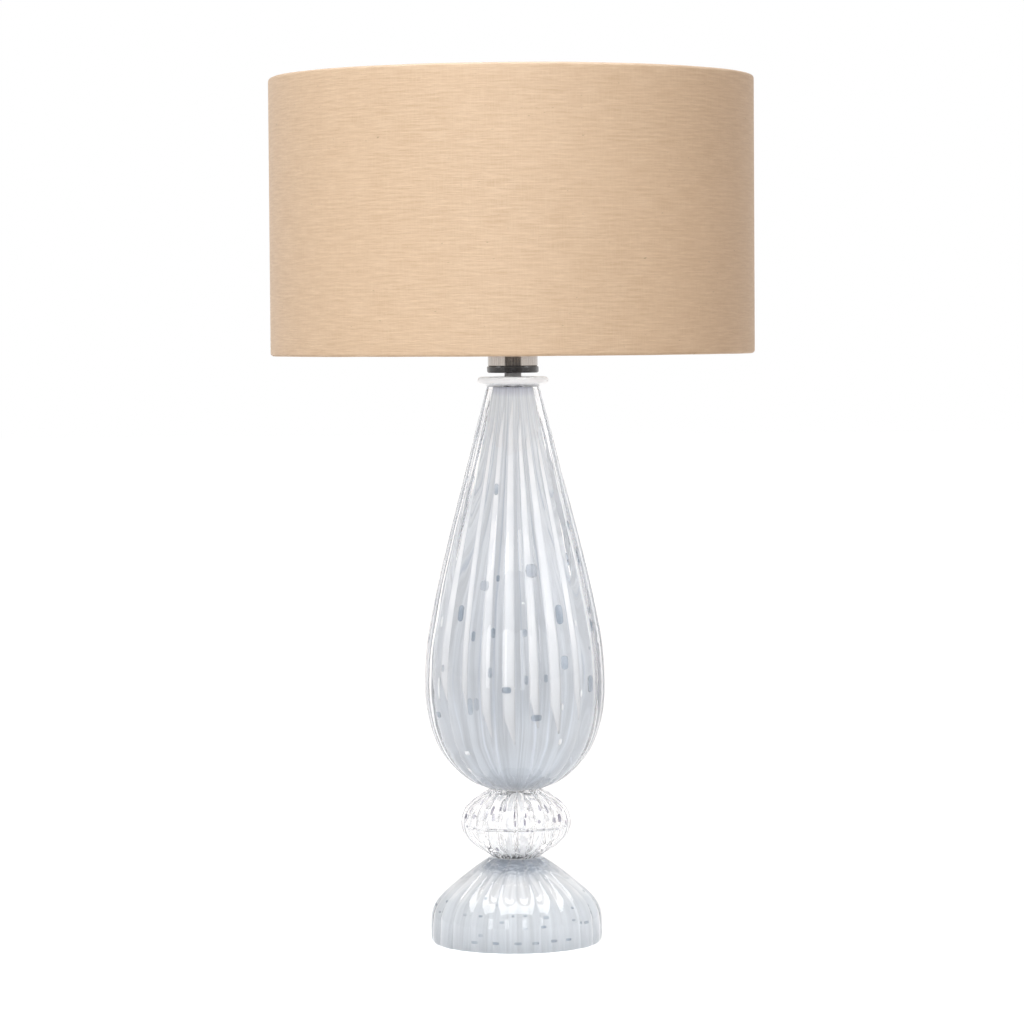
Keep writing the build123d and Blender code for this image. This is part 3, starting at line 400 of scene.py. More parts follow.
# A dark line beside the middle of some ribs: its two edges across the rib, how dark it is, the
# pattern that chooses where it shows, and from where to where in that pattern it comes out
LINE_START, LINE_END = (0.44, 0.46), (0.50, 0.48)
LINE_SHARE = 0.7
LINE_PATTERN = (0.6, 8.0, 15.0, 1.0)
LINE_SHOWS = (0.45, 0.52)
SPECKLES = (480, 480, 480)      # per metre
SPECKLE_TONE = (0.34, 0.38, 0.45)
DULL_BELOW, DULL_ABOVE = 195, 295   # heights between which the bands grow brighter
DULL_SHARE = 0.74


def clear_glass():
    """Hand-blown clear glass, a little wavy."""
    look = Finish(
        "clear_glass_look",
        Base_Color=(0.985, 0.99, 0.995), Transmission_Weight=1.0, Roughness=0.0, IOR=1.5,
    )
    look.bump(look.noise(look.stretched(*GLASS_WAVES), detail=1.0), GLASS_WAVE_HEIGHT)
    return look.material


def milk_glass(name, shades, valley, edge, speckled=None):
    """Milky ribbed glass: shades up its height, upright streaks, painted shade that darkens the
    valleys between the ribs, and dark speckles between two heights where it has them. Edge says
    how far from a rib's middle the painted valley shade starts, where it is darkest, and how much."""
    look = Finish(name, Roughness=0.6)
    ribs, height = look.round_axis()
    across = look.math("FRACT", ribs)

    def streaks(each_rib, up, place, detail):
        side = look.math("MULTIPLY", ribs, each_rib)
        vector = look.plotted(side, look.math("MULTIPLY", height, up), place)
        return look.noise(vector, detail=detail, roughness=0.6)

    low, high = shades[0][0], shades[-1][0]
    stops = [((z - low) / (high - low), colour) for z, colour in shades]
    tone = look.ramp(look.remap(height, low * MM, high * MM), *stops)
    for each_rib, up, place, edges, factors in STREAKS:
        strength = look.remap(streaks(each_rib, up, place, 3.0), *edges, *factors)
        tone = look.blend(1.0, tone, strength, "MULTIPLY")
    doubled = look.math("MULTIPLY", across, 2.0)
    from_middle = look.math("ABSOLUTE", look.math("SUBTRACT", doubled, 1.0))
    # Painted shade in the rib valleys: darker towards each valley
    tone = look.blend(look.remap(from_middle, edge[0], edge[1], 0.0, edge[2]), tone, valley)
    line = look.math("MULTIPLY", look.remap(across, *LINE_START), look.remap(across, *LINE_END))
    line = look.math("MULTIPLY", line, look.remap(streaks(*LINE_PATTERN), *LINE_SHOWS))
    tone = look.blend(look.math("MULTIPLY", line, LINE_SHARE), tone, valley)
    if speckled:
        share = look.remap(height, speckled[0] * MM, speckled[1] * MM)
        grains = look.mottle(SPECKLES, 0.42, 0.56, detail=3.0)
        tone = look.blend(look.math("MULTIPLY", share, grains), tone, SPECKLE_TONE)
    look.feed(look.shader.inputs["Base Color"], tone)
    return look.material


def smoky_glass(name, deep, pale):
    """A tinted see-through skin: each side takes some of the light that passes. On the bubbles this
    grey is painted shade, for the darkening that refraction gives an air bubble.
    """
    look = Finish(name, Transmission_Weight=1.0, Roughness=0.05, IOR=1.07)
    look.feed(look.shader.inputs["Base Color"], look.blend(look.mottle((70, 70, 50)), deep, pale))
    return look.material


def painted_band_look(name, pale, grey):
    """Colour of a thin strip of painted light or shade, uneven along its length and duller low in
    the body.
    """
    look = Finish(name, Roughness=0.4)
    clean = look.blend(look.mottle((30, 30, 22)), pale, grey)
    dull = look.remap(look.round_axis()[1], DULL_BELOW * MM, DULL_ABOVE * MM, 1.0, 0.0)
    dimmed = tuple(DULL_SHARE * part for part in grey)
    look.feed(look.shader.inputs["Base Color"], look.blend(dull, clean, dimmed))
    return look.material


def glint_bubble_look():
    """Painted glints: bubbles coloured pale, for the light they catch."""
    look = Finish("glint_bubble_look", Roughness=0.35)
    mist = look.noise(look.stretched(300, 300, 300), detail=2.0)
    tone = look.blend(mist, (0.95, 0.96, 0.97), (0.90, 0.92, 0.94))
    look.feed(look.shader.inputs["Base Color"], tone)
    return look.material


CLEAR = clear_glass()
# Milky layers: their shades up the height, then the colour of the painted shade in the rib valleys,
# and where that shade starts, is darkest and how strong it is
BODY_MILK = milk_glass(
    "body_milk_look",
    [(139, (0.58, 0.625, 0.70)), (150, (0.63, 0.68, 0.74)), (175, (0.56, 0.59, 0.63)),
     (200, (0.64, 0.675, 0.72)), (235, (0.80, 0.83, 0.87)), (300, (0.89, 0.915, 0.95)),
     (380, (0.93, 0.955, 0.985)), (453, (0.935, 0.96, 0.99)), (458, (0.74, 0.755, 0.83)),
     (463, (0.62, 0.63, 0.72))],
    (0.64, 0.68, 0.74), (0.86, 0.97, 0.9),
)
FOOT_MILK = milk_glass(
    "foot_milk_look",
    [(0, (0.53, 0.565, 0.605)), (16, (0.58, 0.61, 0.645)), (31, (0.64, 0.67, 0.70)),
     (36, (0.82, 0.83, 0.845)), (49, (0.86, 0.865, 0.88)), (55, (0.77, 0.80, 0.84)),
     (59, (0.60, 0.64, 0.71)), (67, (0.50, 0.55, 0.63))],
    (0.55, 0.575, 0.61), (0.5, 0.95, 0.7), (53, 58),
)


# --------------------------------------------------------------------- glass

def glass_piece(name, outline, replaced, flange=(), hollow=(), wave=0.0, mouth=TUBE_HOLE):
    """Clear ribbed glass with a hole for the tube, and a hollow where it has one."""
    bm = bmesh.new()
    rings = [ring_of(bm, *row) for row in through(outline, ROW_STEPS)]
    rings += [ring_of(bm, *row) for row in through(flange, FLANGE_STEPS)] if flange else []
    top = flange[-1][0] if flange else outline[-1][0]
    rings.append(ring_of(bm, top, TUBE_HOLE))
    for height, radius, depth in reversed(through(hollow, ROW_STEPS)) if hollow else []:
        uneven = min(wave, radius - TUBE_HOLE)
        rings.append(ring_of(bm, height, radius, depth, HOLLOW_RIBS, uneven))
    rings.append(ring_of(bm, outline[0][0], mouth))
    tube_of(bm, rings)
    piece = finished(bm, name, CLEAR, "stand")
    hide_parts(replaced)
    return piece


def nearest_depth(rows, height):
    """Rib depth of the row nearest to a height."""
    return min(rows, key=lambda row: abs(row[0] - height))[2]


def core_piece(name, core, outline, replaced, material, inside=()):
    """Milky layer in a clear piece, ribbed like the glass round it: a core, or hollow inside."""
    bm = bmesh.new()
    ribbed = through(outline, DEPTH_STEPS)
    rows = through(core, ROW_STEPS)
    rings = [
        ring_of(bm, height, radius + FUSED, nearest_depth(ribbed, height) * CORE_RIB_SHARE)
        for height, radius in rows
    ]
    inner = [(rows[-1][0], CORE_HOLE), *(inside or [(rows[0][0], CORE_HOLE)])]
    rings += [ring_of(bm, height, radius) for height, radius in inner]
    tube_of(bm, rings)
    piece = finished(bm, name, material, "stand")
    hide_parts(replaced)
    return piece


def outline_radius(outline, height):
    """Crest radius of a piece at a height."""
    for lower, upper in zip(outline, outline[1:]):
        if lower[0] <= height <= upper[0]:
            share = (height - lower[0]) / (upper[0] - lower[0])
            return lower[1] + share * (upper[1] - lower[1])
    return outline[-1][1]


def bubble(bm, outline, depth, angle, height, half_width, half_height, squareness):
    """A small rounded pocket that lies along the glass's surface, some depth under its crests."""
    made = bmesh.ops.create_icosphere(bm, subdivisions=2, radius=1.0)["verts"]
    half_depth = min(half_width, half_height, BUBBLE_MOST_DEPTH) * BUBBLE_FLATNESS
    for vert in made:
        flat = [abs(part) ** (1 - squareness) * (1 if part > 0 else -1) for part in vert.co]
        out, side, up = flat[0] * half_depth, flat[1] * half_width, flat[2] * half_height
        radius = outline_radius(outline, height + up) - depth
        turned = angle + side / radius
        vert.co = ((radius + out) * cos(turned), (radius + out) * sin(turned), height + up)


def bubbles_piece(name, outline, shown, scattered, seed, material):
    """The bubbles seen at the front, and others of the same kind all round."""
    chance = random.Random(seed)
    bm = bmesh.new()
    for side, height, *halves in shown:
        radius = outline_radius(outline, height) - BUBBLE_DEPTH
        angle = FRONT + asin(side / radius)
        bubble(bm, outline, BUBBLE_DEPTH, angle, height, *halves, BUBBLE_SQUARENESS)
    low, high = min(row[1] for row in shown), max(row[1] for row in shown)
    for _ in range(scattered):
        halves = chance.choice(shown)[2:]
        height = chance.uniform(low, high)
        scale = chance.uniform(*SCATTERED_SIZE)
        angle = FRONT + chance.uniform(SCATTERED_FROM, SCATTERED_TO)
        halves = (half * scale for half in halves)
        bubble(bm, outline, BUBBLE_DEPTH, angle, height, *halves, BUBBLE_SQUARENESS)
    bmesh.ops.recalc_face_normals(bm, faces=bm.faces)
    return finished(bm, name, material, "stand")


def band(bm, outline, rib, spans, top, bottom):
    """A thin strip that follows the ribbed surface from inside, between two places across a rib."""
    ribbed = through(outline, DEPTH_STEPS)
    steps = round((top - bottom) / BAND_STEP)
    layers = []
    for sunk in (BAND_DEPTH, BAND_DEPTH + BAND_THICKNESS):
        rows = []
        for i in range(steps + 1):
            height = top + (bottom - top) * i / steps
            crest = outline_radius(outline, height)
            depth = nearest_depth(ribbed, height)
            start = spans[0] + (spans[2] - spans[0]) * i / steps
            end = spans[1] + (spans[3] - spans[1]) * i / steps
            kept = min(1.0, BAND_TIP + min(top - height, height - bottom) / BAND_POINT)
            start = end - (end - start) * kept
            row = []
            for k in range(BAND_ACROSS + 1):
                angle = FRONT + (rib + start + (end - start) * k / BAND_ACROSS) * RIB_PITCH
                radius = crest - depth * rib_drop(angle) - sunk
                row.append(bm.verts.new((radius * cos(angle), radius * sin(angle), height)))
            rows.append(row)
        layers.append(rows)
    outer, inner = layers
    for i in range(steps):
        for k in range(BAND_ACROSS):
            bm.faces.new((outer[i][k], outer[i][k + 1], outer[i + 1][k + 1], outer[i + 1][k]))
            bm.faces.new((inner[i][k + 1], inner[i][k], inner[i + 1][k], inner[i + 1][k + 1]))
        for k in (0, BAND_ACROSS):
            bm.faces.new((outer[i][k], outer[i + 1][k], inner[i + 1][k], inner[i][k]))
    for i in (0, steps):
        for k in range(BAND_ACROSS):
            bm.faces.new((outer[i][k], inner[i][k], inner[i][k + 1], outer[i][k + 1]))


def bands_pieces():
    """The painted highlight bands seen at the front, others like them all round, and the dark lines
    of painted shade beside them.
    """
    chance = random.Random(21)
    rows = list(BODY_BANDS)
    front_ribs = -BODY_BANDS[0][0]
    for rib in range(front_ribs, RIBS - front_ribs):
        if chance.random() < BANDED_SHARE:
            start, end = chance.uniform(*BAND_STARTS), chance.uniform(*BAND_ENDS)
            top, bottom = chance.uniform(*BAND_TOPS), chance.uniform(*BAND_BOTTOMS)
            rows.append((rib, start, end, start + BAND_LEAN, end, top, bottom))
    pale, dark = bmesh.new(), bmesh.new()
    for rib, top_start, top_end, low_start, low_end, top, bottom in rows:
        band(pale, BODY_OUTLINE, rib, (top_start, top_end, low_start, low_end), top, bottom)
        if top_end - top_start > LINED_WIDTH:
            before = (top_start - EDGE_LINE, top_start, low_start - EDGE_LINE, low_start)
            after = (top_end, top_end + EDGE_LINE, low_end, low_end + EDGE_LINE)
            band(dark, BODY_OUTLINE, rib, before, top, bottom)
            band(dark, BODY_OUTLINE, rib, after, top, bottom)
    for bm, name, look in (
        (pale, "body_highlight_bands", painted_band_look("painted_band_look", (0.96, 0.965, 0.975), (0.85, 0.87, 0.90))),
        (dark, "body_shade_lines", painted_band_look("painted_shade_line_look", (0.56, 0.59, 0.65), (0.80, 0.82, 0.86))),
    ):
        bmesh.ops.recalc_face_normals(bm, faces=bm.faces)
        finished(bm, name, look, "stand")


def flange_ring():
    """A flat pale ring inside the flange: painted light, for the brightness seen through the
    flange.
    """
    bm = bmesh.new()
    tube_of(bm, [ring_of(bm, height, radius) for height, radius in FLANGE_RING])
    look = painted_band_look("flange_painted_light_look", (0.98, 0.98, 0.985), (0.93, 0.935, 0.945))
    finished(bm, "flange_painted_light", look, "stand")


def marks_piece(name, outline, rows, seed, material):
    """Rows of small marks all round a piece, none quite like the next."""
    chance = random.Random(seed)
    bm = bmesh.new()
    for low, high, count, half_width, half_height, depth in rows:
        for i in range(count):
            height = chance.uniform(low, high)
            angle = FRONT + 2 * pi * (i + chance.uniform(-MARK_SHIFT, MARK_SHIFT)) / count
            wide = half_width * chance.uniform(*MARK_WIDTHS)
            tall = half_height * chance.uniform(*MARK_HEIGHTS)
            bubble(bm, outline, depth, angle, height, wide, tall, MARK_SQUARENESS)
    bmesh.ops.recalc_face_normals(bm, faces=bm.faces)
    finished(bm, name, material, "stand")


# The bubbles' grey skins are painted shade, for the darkening an air bubble shows through
# refraction
SHADED_BUBBLE = smoky_glass("bubble_painted_shade_look", (0.54, 0.60, 0.67), (0.84, 0.87, 0.90))
SHADED_DISC = smoky_glass("disc_painted_shade_look", (0.80, 0.82, 0.86), (0.88, 0.90, 0.92))
BALL_MARK = smoky_glass("ball_mark_look", (0.36, 0.35, 0.42), (0.80, 0.80, 0.85))
BALL_GLINT = glint_bubble_look()
bubbles_piece("body_discs", BODY_OUTLINE, BODY_DISCS, 14, 14, SHADED_DISC)
marks_piece("ball_marks", BALL_OUTLINE, BALL_MARKS, 31, BALL_MARK)
marks_piece("ball_glints", BALL_OUTLINE, BALL_GLINTS, 33, BALL_GLINT)
bands_pieces()
bubbles_piece("body_bubbles", BODY_OUTLINE, BODY_BUBBLES, 30, 11, SHADED_BUBBLE)
bubbles_piece("body_glint_bubbles", BODY_OUTLINE, BODY_GLINT_BUBBLES, 22, 12, glint_bubble_look())
bubbles_piece("foot_bubbles", FOOT_OUTLINE, FOOT_BUBBLES, 34, 13, SHADED_BUBBLE)
flange_ring()
glass_piece("foot_casing", FOOT_OUTLINE, "foot_glass", hollow=FOOT_HOLLOW, mouth=FOOT_MOUTH)
glass_piece("ball_casing", BALL_OUTLINE, "ball_glass", hollow=BALL_HOLLOW, wave=HOLLOW_WAVE)
glass_piece("body_casing", BODY_OUTLINE, "body_glass", FLANGE_OUTLINE)
core_piece("body_milk", BODY_CORE, BODY_OUTLINE, "body_opal", BODY_MILK)
core_piece("foot_milk", FOOT_CORE, FOOT_OUTLINE, "foot_opal", FOOT_MILK, FOOT_INSIDE)


# --------------------------------------------------------------------- shade

WEAVE_HEIGHT = 0.0004


def cloth_look():
    """Slubbed silk: fine threads both ways, thicker ones across and a few dark flecks."""
    look = Finish("shade_cloth_look", Roughness=0.55, Specular_IOR_Level=0.55, Sheen_Weight=0.08)
    ribs, height = look.round_axis()
    around = look.math("MULTIPLY", ribs, RIB_PITCH * SHADE_RADIUS * MM)

    def threads(across, up, place, detail=2.0):
        """A pattern with so many features per metre round the shade and up it."""
        side = look.math("MULTIPLY", around, across)
        vector = look.plotted(side, look.math("MULTIPLY", height, up), place)
        return look.noise(vector, detail=detail, roughness=0.55)

    slubs = threads(42, 560, 0.0, 3.0)
    fine = threads(160, 1100, 3.0)
    warp = threads(900, 60, 9.0)
    clouds = threads(9, 14, 5.0)
    flecks = threads(170, 420, 13.0, 1.0)
    tone = look.blend(look.remap(slubs, 0.32, 0.68), (0.70, 0.485, 0.295), (0.84, 0.62, 0.41))
    # Each pattern's colour: where it begins and is full in the pattern, and its share then
    for pattern, begins, full, share, colour in (
        (fine, 0.4, 0.75, 0.45, (0.66, 0.45, 0.27)),
        (warp, 0.45, 0.75, 0.25, (0.86, 0.66, 0.45)),
        (clouds, 0.35, 0.7, 0.22, (0.86, 0.62, 0.40)),
        (flecks, 0.76, 0.82, 0.7, (0.42, 0.28, 0.16)),
    ):
        tone = look.blend(look.remap(pattern, begins, full, 0.0, share), tone, colour)
    look.feed(look.shader.inputs["Base Color"], tone)
    finer = look.math("ADD", fine, look.math("MULTIPLY", warp, 0.5))
    look.bump(look.math("ADD", look.math("MULTIPLY", slubs, 1.4), finer), WEAVE_HEIGHT, 0.5)
    return look.material


WANDER_WAVES = (5, 9, 14, 23)


def wander(angle, seed, size):
    """A small smooth unevenness round the shade, from 0 to size."""
    chance = random.Random(seed)
    total = sum(sin(n * angle + chance.uniform(0, 2 * pi)) for n in WANDER_WAVES)
    return size * (0.5 + 0.5 * total / len(WANDER_WAVES))


def cloth_columns():
    """Angles of the cloth's columns, with one at each edge of each notch."""
    end = SEAM + 2 * pi + LAP / SHADE_RADIUS
    angles = [SEAM + (end - SEAM) * i / CLOTH_COLUMNS for i in range(CLOTH_COLUMNS + 1)]
    for spoke in SPOKE_ANGLES:
        for turn in (0, 2 * pi):
            middle = spoke + turn
            near = NOTCH / SHADE_RADIUS
            if not SEAM < middle < end:
                continue
            angles = [a for a in angles if abs(a - middle) > NOTCH_CLEARING * near]
            angles += [middle - near, middle, middle + near]
    return sorted(angles)


def cloth_profile(lift, top_shift, bottom_shift):
    """Mid-surface of the cloth across one column, from the top hem's end to the bottom one's."""
    reach = ROLL + CLOTH / 2 + lift
    centre = SHADE_RADIUS - ROLL - CLOTH
    top = SHADE_TOP - ROLL - CLOTH + top_shift
    bottom = SHADE_BOTTOM + ROLL + CLOTH - bottom_shift
    turns = [pi * k / ROLL_STEPS for k in range(ROLL_STEPS + 1)]
    points = [(centre - reach, top - HEM * (1 - k / HEM_STEPS)) for k in range(HEM_STEPS)]
    points += [(centre - reach * cos(turn), top + reach * sin(turn)) for turn in turns]
    points += [
        (centre + reach, top + (bottom - top) * k / WALL_STEPS) for k in range(1, WALL_STEPS)
    ]
    points += [(centre + reach * cos(turn), bottom - reach * sin(turn)) for turn in turns]
    points += [(centre - reach, bottom + HEM * k / HEM_STEPS) for k in range(1, HEM_STEPS + 1)]
    return points


def shade_cloth():
    """The cloth as one sheet with its notches."""
    bm = bmesh.new()
    angles = cloth_columns()
    columns = []
    for angle in angles:
        over = (angle - SEAM - 2 * pi) * SHADE_RADIUS
        risen = min(max((over + LAP_LEAD) / LAP_RISE, 0), 1)
        lift = wander(angle, 3, UNEVEN_ROLL) + (CLOTH + LAP_GAP) * risen
        profile = cloth_profile(lift, wander(angle, 4, UNEVEN_EDGE), wander(angle, 5, UNEVEN_EDGE))
        columns.append([bm.verts.new((r * cos(angle), r * sin(angle), z)) for r, z in profile])
    for i in range(len(columns) - 1):
        middle = (angles[i] + angles[i + 1]) / 2
        notched = any(
            abs((middle - spoke + pi) % (2 * pi) - pi) * SHADE_RADIUS < NOTCH
            for spoke in SPOKE_ANGLES
        )
        for low, high in zip(range(len(columns[i]) - 1), range(1, len(columns[i]))):
            corners = (columns[i][low], columns[i + 1][low], columns[i + 1][high], columns[i][high])
            face_radius = sum(hypot(v.co.x, v.co.y) for v in corners) / 4
            face_height = sum(v.co.z for v in corners) / 4
            deep = face_radius < SHADE_RADIUS - NOTCH_DEPTH
            low_down = NOTCH_BOTTOM < face_height - SHADE_BOTTOM < NOTCH_TOP
            if not (notched and deep and low_down):
                bm.faces.new(corners)
    loose = [vert for vert in bm.verts if not vert.link_faces]
    bmesh.ops.delete(bm, geom=loose, context="VERTS")
    bmesh.ops.recalc_face_normals(bm, faces=bm.faces)
    thicken(bm, CLOTH)
    cloth = finished(bm, "shade_cloth", cloth_look(), "shade")
    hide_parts("shade_fabric")
    return cloth


def thicken(bm, thickness):
    """Give an open surface a thickness, half of it to each side."""
    bm.normal_update()
    for vert in bm.verts:
        vert.co += vert.normal * (thickness / 2)
    bm.normal_update()
    bmesh.ops.solidify(bm, geom=bm.faces[:], thickness=thickness)
    bmesh.ops.recalc_face_normals(bm, faces=bm.faces)


shade_cloth()


# ------------------------------------------------------- looks of the solids

def metal(name, tone, roughness, worn, scale=(300, 300, 300), relief=0.0):
    """Metal whose sheen varies over its surface."""
    look = Finish(name, Metallic=1.0)
    marks = look.noise(look.stretched(*scale), detail=4.0)
    darker = tuple(0.86 * part for part in tone)
    varied = look.blend(look.remap(marks, 0.3, 0.7), darker, tone)
    look.feed(look.shader.inputs["Base Color"], varied)
    look.feed(look.shader.inputs["Roughness"], look.remap(marks, 0.3, 0.7, roughness, worn))
    if relief:
        look.bump(marks, relief, 0.4)
    return look.material


def moulded(name, tone, roughness, scale=400.0, relief=0.0002, coat=0.0, darkest=0.9):
    """Plastic, rubber or paint with a fine grain."""
    look = Finish(name, Coat_Weight=coat, Coat_Roughness=0.08)
    grain = look.noise(look.stretched(scale, scale, scale), detail=3.0)
    deeper = tuple(darkest * part for part in tone)
    varied = look.blend(look.mottle((35, 35, 35), 0.35, 0.65), tone, deeper)
    look.feed(look.shader.inputs["Base Color"], varied)
    sheen = look.remap(grain, 0.3, 0.7, roughness * 0.85, roughness * 1.15)
    look.feed(look.shader.inputs["Roughness"], sheen)
    look.bump(grain, relief, 0.3)
    return look.material


def see_through(name, tone, roughness, passing, ior):
    """Silicone or frosted glass."""
    look = Finish(name, Transmission_Weight=passing, IOR=ior, Roughness=roughness)
    mist = look.noise(look.stretched(120, 120, 120), detail=3.0)
    deeper = tuple(0.93 * part for part in tone)
    varied = look.blend(look.remap(mist, 0.35, 0.65), tone, deeper)
    look.feed(look.shader.inputs["Base Color"], varied)
    look.bump(mist, 0.0002, 0.2)
    return look.material


TUBE_PITCH = 1.0
THREAD_HEIGHT = 0.0003


def threaded(name, tone, pitch):
    """Bright matt metal with a fine thread."""
    look = Finish(name, Metallic=0.1, Base_Color=tone, Roughness=0.6)
    ribs, height = look.round_axis()
    climbed = look.math("DIVIDE", height, pitch * MM)
    turns = look.math("ADD", climbed, look.math("DIVIDE", ribs, RIBS))
    doubled = look.math("MULTIPLY", look.math("FRACT", turns), 2.0)
    flank = look.math("ABSOLUTE", look.math("SUBTRACT", doubled, 1.0))
    look.bump(flank, THREAD_HEIGHT, 0.5)
    return look.material


LOOKS = {
    "bulb_glass": see_through("frosted_bulb_look", (0.97, 0.97, 0.955), 0.42, 0.12, 1.5),
    "clear_silicone": see_through("silicone_look", (0.95, 0.955, 0.96), 0.3, 0.25, 1.41),
    "black_rubber": moulded("rubber_look", (0.025, 0.025, 0.025), 0.75),
    "zinc_steel": metal("zinc_look", (0.62, 0.63, 0.65), 0.3, 0.45, relief=0.0001),
    # The nickel's dark warm tone is partly painted reflection of the beige shade and a dim room
    "nickel": metal("nickel_look", (0.54, 0.49, 0.45), 0.09, 0.15, (900, 900, 60)),
    "dark_ring": moulded("dark_ring_look", (0.016, 0.014, 0.015), 0.3, coat=0.6),
    "white_ceramic": moulded("ceramic_look", (0.83, 0.82, 0.78), 0.3, 150.0, coat=0.5),
    "brass": metal("brass_look", (0.78, 0.60, 0.30), 0.2, 0.32),
    "white_plastic": moulded("white_plastic_look", (0.82, 0.82, 0.79), 0.42),
    "black_plastic": moulded("black_plastic_look", (0.035, 0.035, 0.037), 0.5, 900.0, 0.0003),
    "white_enamel": moulded("enamel_look", (0.84, 0.84, 0.81), 0.35, 700.0, 0.0002, coat=0.2),
    "shade_liner": moulded("liner_look", (0.88, 0.85, 0.79), 0.45, 90.0, darkest=0.98),
    "lead_brown": moulded("brown_lead_look", (0.22, 0.09, 0.04), 0.4),
    "lead_blue": moulded("blue_lead_look", (0.05, 0.16, 0.45), 0.4),
}
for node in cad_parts.values():
    for holder in node.material_slots:
        holder.material = LOOKS.get(holder.material.name, holder.material)
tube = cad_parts["threaded_tube"]
tube.material_slots[0].material = threaded("thread_look", (0.95, 0.95, 0.96), TUBE_PITCH)


# ------------------------------------------------------------- stage, lights

def ray_strength(tree, lit, seen, through_glass, inside):
    """Strength of a light source: as it lights matt things, as it is seen or mirrored, as it is
    seen through glass, and as it lights matt things inside glass."""
    rays = tree.nodes.new("ShaderNodeLightPath").outputs

    def choice(flag, low, high):
        mixed = tree.nodes.new("ShaderNodeMapRange")
        tree.links.new(flag, mixed.inputs["Value"])
        for name, value in (("To Min", low), ("To Max", high)):
            if isinstance(value, bpy.types.NodeSocket):
                tree.links.new(value, mixed.inputs[name])
            else:
                mixed.inputs[name].default_value = value
        return mixed.outputs["Result"]

    looking = tree.nodes.new("ShaderNodeMath")
    looking.operation = "MAXIMUM"
    tree.links.new(rays["Is Camera Ray"], looking.inputs[0])
    tree.links.new(rays["Is Glossy Ray"], looking.inputs[1])
    in_air = choice(looking.outputs[0], lit, seen)
    in_glass = choice(rays["Diffuse Depth"], through_glass, inside)
    return choice(rays["Is Transmission Ray"], in_air, in_glass)


def ray_tint(tree, lit):
    """A light source's colour: white, or a warmer one where it lights matt things in air."""
    rays = tree.nodes.new("ShaderNodeLightPath").outputs
    looking = tree.nodes.new("ShaderNodeMath")
    looking.operation = "ADD"
    tree.links.new(rays["Is Camera Ray"], looking.inputs[0])
    tree.links.new(rays["Is Glossy Ray"], looking.inputs[1])
    white = tree.nodes.new("ShaderNodeMath")
    white.operation = "ADD"
    white.use_clamp = True
    tree.links.new(looking.outputs[0], white.inputs[0])
    tree.links.new(rays["Is Transmission Ray"], white.inputs[1])
    tint = tree.nodes.new("ShaderNodeMix")
    tint.data_type = "RGBA"
    tree.links.new(white.outputs[0], tint.inputs["Factor"])
    tint.inputs["A"].default_value = lit
    tint.inputs["B"].default_value = (1, 1, 1, 1)
    return tint.outputs["Result"]


def from_front(tree, towards, low, high):
    """A value that rises from behind to a direction in front."""
    way = tree.nodes.new("ShaderNodeTexCoord").outputs["Generated"]
    along = tree.nodes.new("ShaderNodeVectorMath")
    along.operation = "DOT_PRODUCT"
    tree.links.new(way, along.inputs[0])
    along.inputs[1].default_value = towards
    risen = tree.nodes.new("ShaderNodeMapRange")
    tree.links.new(along.outputs["Value"], risen.inputs["Value"])
    for name, value in zip(MAP_RANGE_ENDS, (-1.0, 1.0, low, high)):
        risen.inputs[name].default_value = value
    return risen.outputs["Result"]


WORLD_LIT = 0.50            # as it lights matt things in air
WORLD_SEEN = 1.0
WORLD_THROUGH_GLASS = 1.05
WORLD_IN_GLASS = (1.2, 2.75)    # from behind and from the front
WORLD_BRIGHT_SIDE = (0.45, -0.85, -0.25)
WORLD_TINT = (1.0, 0.89, 0.82, 1)
FLOOR_LIFT = 0.72           # what whitens the floor where it is seen
FLOOR_IN_GLASS = 1.0

world = bpy.data.worlds.new("studio")
scene.world = world
world.use_nodes = True
tree = world.node_tree
sky = tree.nodes["Background"]
tree.links.new(ray_tint(tree, WORLD_TINT), sky.inputs["Color"])
inside = from_front(tree, WORLD_BRIGHT_SIDE, *WORLD_IN_GLASS)
strength = ray_strength(tree, WORLD_LIT, WORLD_SEEN, WORLD_THROUGH_GLASS, inside)
tree.links.new(strength, sky.inputs["Strength"])


def plane(name, centre, facing, width, height):
    """A flat rectangle that faces along a direction."""
    mesh = bpy.data.meshes.new(name)
    corners = [(-width / 2, -height / 2, 0), (width / 2, -height / 2, 0),
               (width / 2, height / 2, 0), (-width / 2, height / 2, 0)]
    mesh.from_pydata(corners, [], [(0, 1, 2, 3)])
    sheet = bpy.data.objects.new(name, mesh)
    scene.collection.objects.link(sheet)
    sheet.location = centre
    sheet.rotation_euler = Vector(facing).to_track_quat("Z", "Y").to_euler()
    return sheet


def glow(name, brightness):
    """An even light material."""
    material = bpy.data.materials.new(name)
    material.use_nodes = True
    nodes, links = material.node_tree.nodes, material.node_tree.links
    nodes.clear()
    source = nodes.new("ShaderNodeEmission")
    source.inputs["Strength"].default_value = brightness
    links.new(source.outputs[0], nodes.new("ShaderNodeOutputMaterial").inputs["Surface"])
    return material


def card(name, centre, facing, width, height, brightness):
    """A panel that only reflections see."""
    panel = plane(name, centre, facing, width, height)
    panel.data.materials.append(glow(name, brightness))
    panel.visible_camera = False
    panel.visible_diffuse = False
    panel.visible_transmission = False
    panel.visible_shadow = False
    return panel


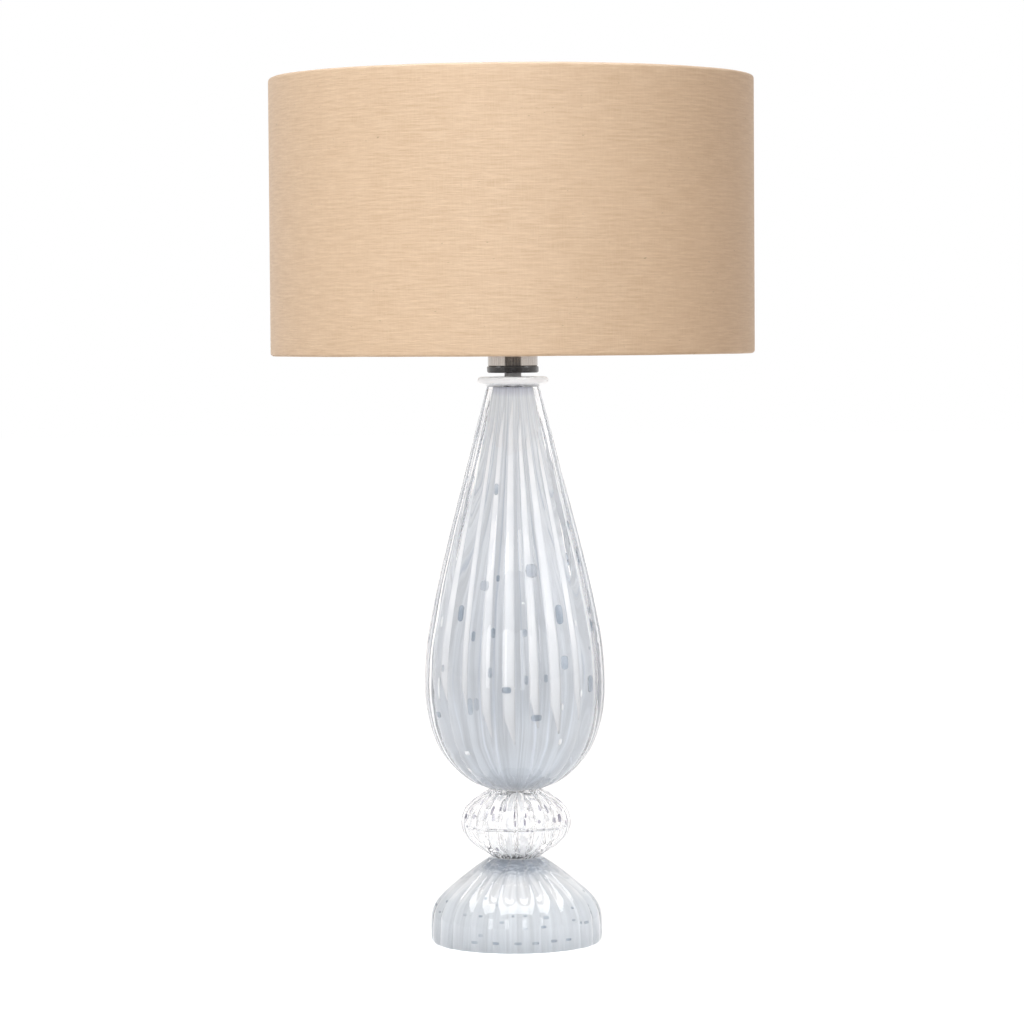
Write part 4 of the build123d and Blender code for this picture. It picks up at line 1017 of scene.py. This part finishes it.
def floor_finish():
    """White floor: what is seen of it is lifted to white, and it keeps the lamp's shadow."""
    look = Finish("floor_look", Base_Color=(0.8, 0.8, 0.8), Roughness=1.0, Specular_IOR_Level=0.0)
    lift = look.node("Emission")
    lifted = ray_strength(look.tree, 0.0, FLOOR_LIFT, FLOOR_LIFT, FLOOR_IN_GLASS)
    look.feed(lift.inputs["Strength"], lifted)
    total = look.node("AddShader")
    look.feed(total.inputs[0], look.shader.outputs[0])
    look.feed(total.inputs[1], lift.outputs[0])
    look.feed(look.tree.nodes["Material Output"].inputs["Surface"], total.outputs[0])
    return look.material


FLOOR_SIZE = 30
floor = plane("floor", (0, 0, 0), (0, 0, 1), FLOOR_SIZE, FLOOR_SIZE)
floor.data.materials.append(floor_finish())

# Name, centre, facing, width, height, brightness
CARDS = [
    ("front_card", (-0.25, -3.0, 0.4), (0, 1, 0), 0.9, 2.6, 4.0),
    ("top_card", (0, -0.6, 2.6), (0, 0, -1), 3.5, 3.0, 6.0),
    ("dark_card", (0.01, -0.6, 0.48), (0, 1, 0), 0.9, 0.11, 0.12),
]
for row in CARDS:
    card(*row)


def soft_lamp(name, position, target, size, power, colour):
    """A round lamp whose own disc nothing mirrors."""
    lamp = bpy.data.lights.new(name, "AREA")
    lamp.shape = "DISK"
    lamp.size = size
    lamp.energy = power
    lamp.color = colour
    holder = bpy.data.objects.new(name, lamp)
    scene.collection.objects.link(holder)
    holder.location = position
    holder.rotation_euler = (Vector(position) - Vector(target)).to_track_quat("Z", "Y").to_euler()
    holder.visible_glossy = False
    holder.visible_transmission = False
    return holder


soft_lamp(
    "key", position=(-0.95, -2.4, 2.15), target=(0, 0, 0.6), size=1.2, power=46,
    colour=(0.94, 1.03, 1.16),
)


# -------------------------------------------------------------------- camera

CAMERA_PLACE = (-0.0015, -3.22, 0.5128)
CAMERA_PITCH = 2.741        # degrees below level
CAMERA_ROLL = 0.4
CAMERA_LENS = 136.6
SENSOR_WIDTH = 36

lens = bpy.data.cameras.new("camera")
lens.lens = CAMERA_LENS
lens.sensor_width = SENSOR_WIDTH
camera = bpy.data.objects.new("camera", lens)
scene.collection.objects.link(camera)
camera.matrix_world = (
    Matrix.Translation(CAMERA_PLACE)
    @ Matrix.Rotation(radians(90 - CAMERA_PITCH), 4, "X")
    @ Matrix.Rotation(radians(-CAMERA_ROLL), 4, "Z")
)
scene.camera = camera
scene.view_settings.view_transform = "Standard"
